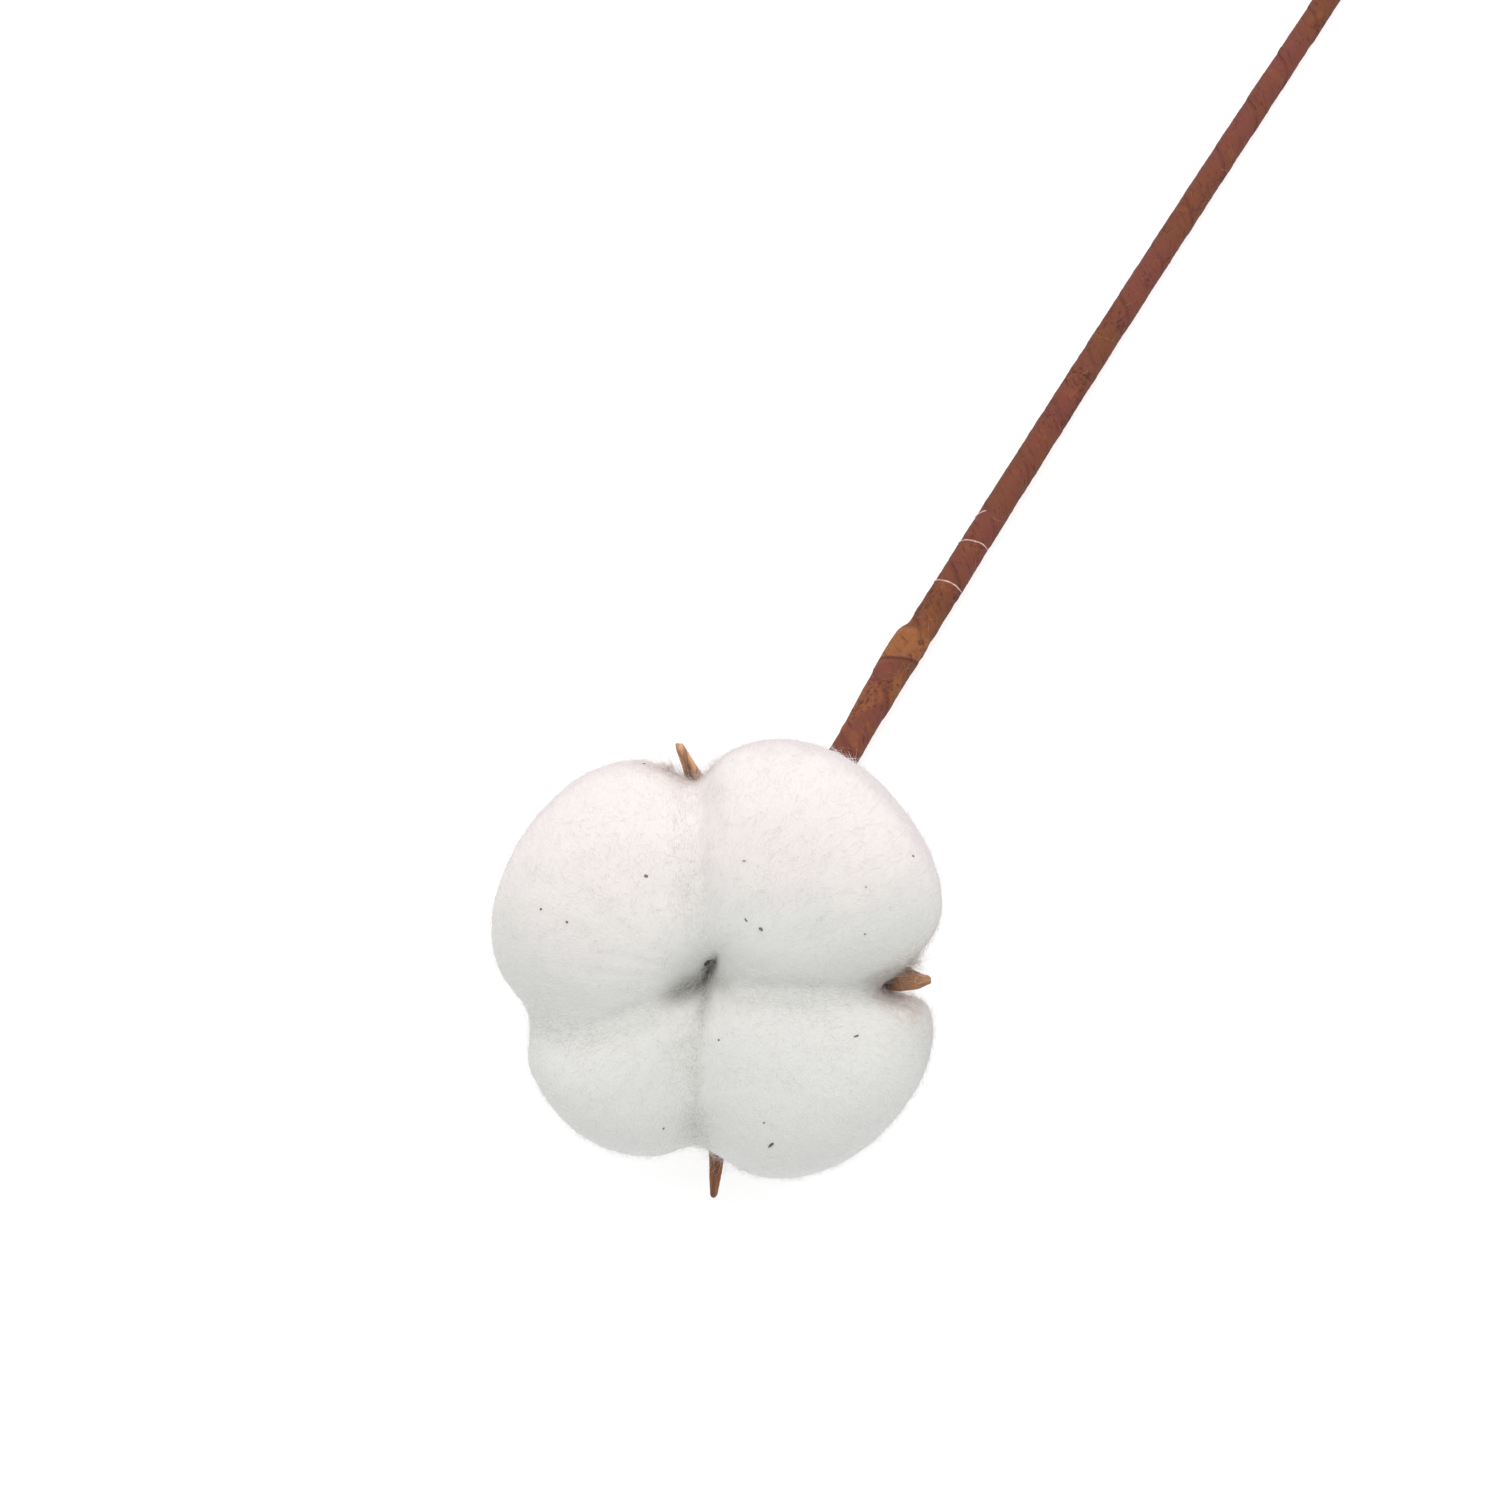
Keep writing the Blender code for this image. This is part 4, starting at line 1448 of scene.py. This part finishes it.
@dataclass(frozen=True)
class StemRoute:
    """The stem's middle line: out of the burr along its axis, down to the table and along it."""

    placement: BollPlacement
    neck_start: float = 18.4 * MM
    neck_pull: float = 5.2 * MM
    landing_pull: float = 2.2
    neck_steps: int = 60
    run_steps: int = 240
    landing: Pair = (-19.8 * MM, 26.5 * MM)
    resting: float = 2.463 * MM
    end_height: float = 1.72 * MM
    sway: float = -0.7 * MM
    lift_off: float = 0.20
    stalk_side: tuple[Pair, ...] = (
        (34.0 * MM, 0.0), (50.0 * MM, -0.4 * MM), (53.6 * MM, -0.4 * MM), (56.6 * MM, 0.0))

    def points(self, spacing: float) -> list[Vector]:
        """Gives evenly spaced points of the line.

        Args:
            spacing: How far apart they are.

        Returns:
            The points.
        """
        to_part = self.placement.matrix()
        axis = to_part.to_3x3() @ Vector((0.0, 0.0, 1.0))
        start = to_part @ Vector((0.0, 0.0, -self.neck_start))
        landing = Vector((*self.landing, self.resting))
        pulls = (start, start - axis * self.neck_pull,
                 landing - Vector((0.0, self.neck_pull * self.landing_pull, 0.0)), landing)
        dense = []
        for i in range(self.neck_steps + 1):
            t = i / self.neck_steps
            weights = ((1 - t) ** 3, 3 * (1 - t) ** 2 * t, 3 * (1 - t) * t**2, t**3)
            dense.append(sum((p * w for p, w in zip(pulls, weights, strict=True)), Vector()))
        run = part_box("paper_wrap")[1].y - landing.y
        neck = sum((b - a).length for a, b in zip(dense, dense[1:]))
        for i in range(1, self.run_steps + 1):
            share = i / self.run_steps
            lifted = max(0.0, (share - self.lift_off) / (1 - self.lift_off))
            aside = sum(float(eased(neck + run * share, a, b)) * (high - low)
                        for (a, low), (b, high) in zip(self.stalk_side, self.stalk_side[1:]))
            dense.append(Vector((landing.x + self.sway * math.sin(math.pi * share) + aside,
                                 landing.y + run * share,
                                 self.resting + (self.end_height - self.resting) * lifted)))
        line = np.array(dense)
        lengths = np.concatenate([[0.0], np.cumsum(np.linalg.norm(np.diff(line, axis=0), axis=1))])
        stops = np.linspace(0.0, lengths[-1], round(lengths[-1] / spacing) + 1)
        even = np.stack([np.interp(stops, lengths, line[:, k]) for k in range(3)], axis=1)
        return [Vector(p) for p in even]


@dataclass
class PaperWrap:
    """The crêpe tape wound round the stalk and the wire."""

    route: StemRoute
    spacing: float = 0.24 * MM
    sides: int = 44
    pitch: float = 10.5 * MM
    tape_step: float = 0.10 * MM
    profile: tuple[Pair, ...] = (
        (0.000, 0.00300), (0.004, 0.00240), (0.020, 0.00212), (0.038, 0.00212), (0.046, 0.00232),
        (0.0522, 0.00252), (0.0539, 0.00247), (0.0561, 0.00203), (0.120, 0.00193), (0.240, 0.00174))
    wrinkle_height: float = 0.12 * MM
    dent_height: float = 0.20 * MM
    fold_depth: float = 0.12 * MM
    band: tuple[float, float, float, float] = (0.0499, 0.0502, 0.0547, 0.0554)
    band_slant: float = 1.3 * MM
    band_bow: float = -0.3 * MM

    def tree(self) -> bpy.types.NodeTree:
        """Builds the Geometry Nodes tree that winds the tape round the stem's line.

        Returns:
            The tree.
        """
        nodes = ShapeNodes("wound_tape", {"Line": "Geometry", "Pitch": "Float", "Tape Step": "Float",
                                          "Sides": "Int", "Material": "Material"})
        given = nodes.given
        pitch, step = Value(nodes, given["Pitch"]), Value(nodes, given["Tape Step"])
        along = nodes.node("GeometryNodeSplineParameter")
        line = nodes.keep(given["Line"], "distance", along.outputs["Length"])
        line = nodes.keep(line, "middle", nodes.here(), "FLOAT_VECTOR")
        circle = nodes.node("GeometryNodeCurvePrimitiveCircle", {},
                            {"Resolution": given["Sides"], "Radius": MM})
        circle = nodes.keep(circle.outputs[0], "around", along.outputs["Factor"])
        skin = nodes.node("GeometryNodeCurveToMesh", {},
                          {"Curve": line, "Profile Curve": circle, "Fill Caps": True}).outputs[0]
        distance, around = nodes.kept("distance"), nodes.kept("around")
        middle = nodes.kept("middle", "FLOAT_VECTOR")
        at = nodes.here()
        outward = (at - middle).scaled(1 / MM)
        radius: Value = distance * 0.0 + self.profile[0][1]
        for (start, low), (end, high) in zip(self.profile, self.profile[1:]):
            radius = radius + distance.eased(start, end, 0.0, high - low)
        wander = nodes.noise(at, 120.0, 2.0) - 0.5
        turns = distance / pitch + around + wander * 0.25
        into = turns.fraction()
        seam = (turns.whole() * 12.9898).sine() * 0.5 + 0.5
        lapped = into.eased(0.0, 0.045) * (1.0 - into * 0.8) * step * (0.5 + seam)
        own = nodes.joined((around * math.tau).sine() * 1.2, ((around + 0.25) * math.tau).sine() * 1.2,
                           turns * 1.3)
        tape = nodes.joined(turns * 26.0, (distance / pitch - around) * 4.0, turns.whole() * 3.7)
        wrinkle = nodes.noise(tape, 1.0, 3.0, 0.6, 0.6) - 0.5
        dent = nodes.noise(at, 420.0, 2.0, 0.5, 0.5) - 0.5
        fold_noise = nodes.noise(own, 2.4, 3.0, 0.6, 1.2)
        ridge = (fold_noise - 0.5).most(0.5 - fold_noise)
        fold = (1.0 - ridge.eased(0.0, 0.03)) * nodes.noise(at, 180.0, 1.0).eased(0.5, 0.62)
        grown = (radius + lapped + wrinkle * self.wrinkle_height + dent * self.dent_height
                 - fold * self.fold_depth)
        skin = nodes.moved(skin, middle + outward.scaled(grown), 0.0)
        first, second, third, last = self.band
        aside = outward.unit().parts()[0]
        lower = distance - aside * self.band_slant + (aside * aside - 0.5) * self.band_bow + wander * 0.002
        upper = distance - aside * self.band_slant * 0.5 + wander * 0.003
        rim_line = lower.eased(first - 0.0006, first) * lower.eased(second, first)
        nap = nodes.noise(at, 170.0, 2.0).eased(0.42, 0.62) * distance.eased(0.075, 0.02, 0.3, 1.0)
        marks = {
            # crease and edge: where painted shade goes, in the folds, along the band's lower rim and the
            # lapped edges
            "crease": fold.most(rim_line * 0.8),
            "edge": into.eased(0.0, 0.03) * into.eased(0.09, 0.04),
            # side: where painted shade darkens the stem's two sides
            "side": (aside * aside).eased(0.86, 1.0),
            "nap": nap,
            "band": lower.eased(first, second) * upper.eased(last, third),
        }
        for name, value in marks.items():
            skin = nodes.keep(skin, name, value)
        skin = nodes.keep(skin, "tape", tape, "FLOAT_VECTOR")
        return nodes.ended(skin, ("distance", "around", "middle"))

    def build(self, material: bpy.types.Material) -> bpy.types.Object:
        """Builds the paper's piece.

        Args:
            material: The paper's material.

        Returns:
            The piece.
        """
        line = bpy.data.curves.new("stem_line", "CURVE")
        line.dimensions = "3D"
        line.twist_mode = "Z_UP"
        spline = line.splines.new("POLY")
        points = self.route.points(self.spacing)
        spline.points.add(len(points) - 1)
        spline.points.foreach_set("co", np.array([[*p, 1.0] for p in points], np.float32).ravel())
        carrier = shaped(add_piece("stem_line", line), self.tree(), {
            "Pitch": self.pitch, "Tape Step": self.tape_step, "Sides": self.sides, "Material": material})
        return add_piece("paper_wrap_crepe", melted(carrier))


def surface_tree(pieces: Sequence[bpy.types.Object]) -> BVHTree:
    """Makes one search tree over the faces of several pieces.

    Args:
        pieces: The pieces.

    Returns:
        The tree.
    """
    points, faces = [], []
    for piece in pieces:
        start = len(points)
        points += [vertex.co.copy() for vertex in piece.data.vertices]
        faces += [[start + index for index in face.vertices] for face in piece.data.polygons]
    return BVHTree.FromPolygons(points, faces)


@dataclass(frozen=True)
class Crumb:
    """A crumb of seed coat: the pixel it shows at, its length and width in mm, its turn in the picture."""

    pixel: Pair
    length: float
    width: float
    turn: float = 0.0


@dataclass(frozen=True)
class SeedCrumbs:
    """Crumbs of dark seed coat caught in the lint: those in sight, and a few on the other sides."""

    placement: BollPlacement
    camera: PhotoCamera
    in_sight: tuple[Crumb, ...] = (
        Crumb((646, 876), 0.50, 0.42), Crumb((541, 909), 0.34, 0.26), Crumb((567, 922), 0.30, 0.26),
        Crumb((744, 861), 0.44, 0.16, 0.1), Crumb((913, 856), 0.46, 0.22, 0.1),
        Crumb((761, 929), 0.56, 0.34, -0.7), Crumb((746, 920), 0.56, 0.16, -0.9),
        Crumb((856, 1036), 0.72, 0.22, 0.35), Crumb((771, 1145), 1.15, 0.32, 0.95),
        Crumb((764, 1123), 0.36, 0.20, 0.6), Crumb((644, 764), 0.46, 0.16, -0.3),
        Crumb((719, 1040), 0.26, 0.22), Crumb((866, 887), 0.30, 0.14), Crumb((865, 934), 0.26, 0.20))
    depth: float = 0.6
    sink: float = 0.05 * MM
    unevenness: float = 0.16 * MM
    elsewhere: int = 14
    elsewhere_length: Pair = (0.3, 0.6)
    seed: int = 21

    def tree(self) -> bpy.types.NodeTree:
        """Builds the Geometry Nodes tree that sets a crumb on every point.

        Returns:
            The tree.
        """
        nodes = ShapeNodes("seed_crumbs", {"Places": "Geometry", "Unevenness": "Float",
                                           "Material": "Material"})
        ball = nodes.node("GeometryNodeMeshIcoSphere", {}, {"Radius": 0.5, "Subdivisions": 2})
        size, turn = nodes.kept("size", "FLOAT_VECTOR"), nodes.kept("turn", "FLOAT_VECTOR")
        facing = nodes.node("FunctionNodeEulerToRotation", {}, {0: turn})
        placed = nodes.node("GeometryNodeInstanceOnPoints", {},
                            {"Points": nodes.given["Places"], "Instance": ball.outputs[0],
                             "Rotation": facing.outputs[0], "Scale": size})
        real = nodes.node("GeometryNodeRealizeInstances", {}, {0: placed.outputs[0]})
        bumps = nodes.drift(nodes.here(), 3200.0).scaled(nodes.given["Unevenness"])
        uneven = nodes.node("GeometryNodeSetPosition", {}, {"Geometry": real.outputs[0], "Offset": bumps})
        return nodes.ended(uneven.outputs[0])

    def build(self, locks: Sequence[bpy.types.Object], material: bpy.types.Material) -> bpy.types.Object:
        """Builds the crumbs on the cotton.

        Args:
            locks: The cotton's pieces.
            material: The crumbs' material.

        Returns:
            The piece.
        """
        cotton = surface_tree(locks)
        centre = Vector(self.placement.centre)
        sight = self.camera.frame(centre).to_3x3()
        seeded = np.random.default_rng(self.seed)
        marks = []
        for crumb in self.in_sight:
            start, direction = self.camera.ray(centre, crumb.pixel)
            along = sight @ Vector((math.cos(crumb.turn), math.sin(crumb.turn), 0.0))
            marks.append((*cotton.ray_cast(start, direction)[:2], along, crumb.length * MM, crumb.width * MM))
        for _ in range(self.elsewhere):
            away = Vector(seeded.normal(size=3))
            away.z = -abs(away.z) * 0.6
            length = seeded.uniform(*self.elsewhere_length) * MM
            marks.append((*cotton.ray_cast(centre + away.normalized() * 0.1, -away)[:2],
                          Vector(seeded.normal(size=3)), length, length * 0.6))
        mesh = bpy.data.meshes.new("seed_crumbs")
        mesh.from_pydata([place + normal * self.sink for place, normal, *_ in marks], [], [])
        size = mesh.attributes.new("size", "FLOAT_VECTOR", "POINT")
        turn = mesh.attributes.new("turn", "FLOAT_VECTOR", "POINT")
        for index, (_, normal, along, length, width) in enumerate(marks):
            flat = (along - normal * along.dot(normal)).normalized()
            facing = Matrix((flat, normal.cross(flat), normal)).transposed()
            turn.data[index].vector = facing.to_euler()
            size.data[index].vector = (length, width, width * self.depth)
        piece = shaped(add_piece("seed_crumbs", mesh), self.tree(),
                       {"Unevenness": self.unevenness, "Material": material})
        settle(piece)
        return piece


@dataclass(frozen=True)
class Crossing:
    """A thread across the paper: where along the stem, its two ends round it, how far it slides and bows."""

    along: float
    start: float
    end: float
    slide: float = 0.0
    bow: float = 0.0


@dataclass(frozen=True)
class PaleThreads:
    """The pale threads that lie across the paper."""

    route: StemRoute
    thickness: float = 0.13 * MM
    steps: int = 22
    route_spacing: float = 0.5 * MM
    wobble: float = 0.12 * MM
    wobble_waves: float = 3.0
    clear_of_paper: float = 10.0 * MM
    proud: float = 0.4
    end_width: float = 0.45
    crossings: tuple[Crossing, ...] = (
        Crossing(79.8 * MM, -76.0, 82.0, 1.3 * MM, 0.15 * MM), Crossing(72.2 * MM, -76.0, 82.0, 0.7 * MM),
        Crossing(84.6 * MM, -74.0, -25.0, 1.2 * MM, 0.2 * MM))

    def build(self, paper: bpy.types.Object, material: bpy.types.Material) -> bpy.types.Object:
        """Builds the threads on the paper.

        Args:
            paper: The paper's piece.
            material: The threads' material.

        Returns:
            The piece.
        """
        skin = surface_tree([paper])
        middles = self.route.points(self.route_spacing)
        curve = bpy.data.curves.new("pale_threads", "CURVE")
        curve.dimensions = "3D"
        curve.bevel_depth = self.thickness
        curve.bevel_resolution = 1
        curve.use_fill_caps = True
        for number, crossing in enumerate(self.crossings):
            spline = curve.splines.new("POLY")
            spline.points.add(self.steps)
            for step in range(self.steps + 1):
                share = step / self.steps
                turn = math.radians(crossing.start + (crossing.end - crossing.start) * share)
                drift = noise.noise(Vector((share * self.wobble_waves, number * 5.0, 0.5))) * self.wobble
                y = (crossing.along + crossing.slide * (share - 0.5)
                     + crossing.bow * math.sin(math.pi * share) + drift)
                middle = min(middles, key=lambda p, y=y: abs(p.y - y))
                outward = Vector((math.sin(turn), 0.0, math.cos(turn)))
                outside = Vector((middle.x, y, middle.z)) + outward * self.clear_of_paper
                place = skin.ray_cast(outside, -outward)[0] + outward * self.thickness * self.proud
                place.z = max(place.z, self.thickness)
                spline.points[step].co = (*place, 1.0)
                swelling = math.sin(math.pi * share) ** 0.4
                spline.points[step].radius = self.end_width + (1 - self.end_width) * swelling
        mesh = melted(add_piece("thread_lines", curve))
        mesh.shade_smooth()
        mesh.materials.clear()
        mesh.materials.append(material)
        return add_piece("pale_threads", mesh)


@dataclass(frozen=True)
class Studio:
    """The white table, the soft light and the camera."""

    camera: PhotoCamera = PhotoCamera()
    table_side: float = 6.0
    table_white: Colour = (0.30, 0.30, 0.30)
    table_glow: float = 0.78
    sky: Colour = (0.90, 0.915, 0.905)
    sky_low: float = 0.57
    sky_high: float = 0.84
    key_colour: Colour = (1.0, 0.925, 0.905)
    key_power: float = 4.5
    key_side: float = 0.7
    key_place: Place = (0.03, 0.30, 0.88)

    def set_up(self, seen: Vector) -> None:
        """Places the camera, the table and the lights.

        Args:
            seen: The boll's centre.
        """
        camera = bpy.data.objects.new("camera", bpy.data.cameras.new("camera"))
        camera.data.lens = self.camera.lens
        camera.data.sensor_width = self.camera.sensor
        camera.data.clip_start, camera.data.clip_end = 0.01, 20.0
        camera.matrix_world = self.camera.frame(seen)
        bpy.context.scene.collection.objects.link(camera)
        bpy.context.scene.camera = camera
        self.lay_table()
        self.light(seen)

    def lay_table(self) -> None:
        """Lays the pale table top."""
        top = bmesh.new()
        bmesh.ops.create_grid(top, x_segments=2, y_segments=2, size=self.table_side / 2)
        mesh = mesh_of(top, "table")
        made = Shading("white_table", Roughness=0.9, Specular_IOR_Level=0.1,
                       Emission_Color=(1.0, 1.0, 1.0, 1.0), Emission_Strength=self.table_glow)
        faint = made.noise(made.place(), 6.0, 2.0)
        tint = made.blend(faint * 0.1, self.table_white, (1.0, 1.0, 1.0))
        mesh.materials.append(made.dress(colour=tint))
        table = add_piece("table", mesh)

    def light(self, seen: Vector) -> None:
        """Lights the scene softly from the picture's top.

        Args:
            seen: The boll's centre.
        """
        world = bpy.data.worlds.new("studio")
        world.use_nodes = True
        nodes = NodeBuilder(world.node_tree)
        height = nodes.arrow(nodes.node("ShaderNodeTexCoord"), "Generated").parts()[2]
        ground = world.node_tree.nodes["Background"]
        ground.inputs["Color"].default_value = (*self.sky, 1.0)
        nodes.feed(ground.inputs["Strength"], height.eased(0.0, 0.9, self.sky_low, self.sky_high))
        bpy.context.scene.world = world
        lamp = bpy.data.lights.new("key", "AREA")
        lamp.size = self.key_side
        lamp.energy = self.key_power
        lamp.color = self.key_colour
        key = bpy.data.objects.new("key", lamp)
        right, away = self.camera.level()
        across, back, up = self.key_place
        key.location = seen + right * across + away * back + Vector((0.0, 0.0, up))
        key.rotation_euler = (key.location - seen).to_track_quat("Z", "Y").to_euler()
        bpy.context.scene.collection.objects.link(key)
        bpy.context.scene.view_settings.view_transform = "Standard"


def declare(piece: bpy.types.Object, slot: str, *nodes: str) -> None:
    """Says what a piece rides on and hides the solids that it stands for.

    Args:
        piece: The piece.
        slot: The record's material slot; not used.
        nodes: The solids that it stands for.
    """
    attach(piece, "root")
    if nodes:
        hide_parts(*nodes)
    log.info("%s: %d triangles", piece.name, sum(len(p.vertices) - 2 for p in piece.data.polygons))


def main() -> None:
    """Builds and dresses the boll on its stem."""
    logging.basicConfig(level=logging.INFO, format="%(name)s: %(message)s")
    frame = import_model()
    placement = BollPlacement()
    lint = CottonFinish().material()
    fibre = FuzzFinish().material()
    burr = Burr(placement).build()
    burr.data.materials.append(HuskFinish().material())
    declare(STUCK_LINT.grow(burr, "burr_stuck_lint", fibre), "cotton")
    declare(burr, "burr", "burr")
    locks = Boll(placement, PhotoCamera()).build(burr)
    for lock, piece in locks.items():
        piece.data.materials.clear()
        piece.data.materials.append(lint)
        for coat in LINT_COATS:
            fuzz = coat.grow(piece, f"{lock.value}_{coat.name}", fibre)
            declare(fuzz, "cotton")
        declare(piece, "cotton", lock.value)
    crumbs = SeedCrumbs(placement, PhotoCamera()).build(list(locks.values()), SpeckFinish().material())
    declare(crumbs, "burr")
    paper = PaperWrap(StemRoute(placement)).build(CrepeFinish().material())
    declare(paper, "paper", "paper_wrap")
    declare(PAPER_NAP.grow(paper, "paper_wrap_nap", ThreadFinish().material()), "paper")
    threads = PaleThreads(StemRoute(placement)).build(paper, ThreadFinish().material())
    declare(threads, "cotton")
    wire = frame["nodes"]["stem_wire"]
    wire.data.materials.clear()
    wire.data.materials.append(WireFinish().material())
    Studio().set_up(Vector(placement.centre))


if __name__ == "__main__":
    main()
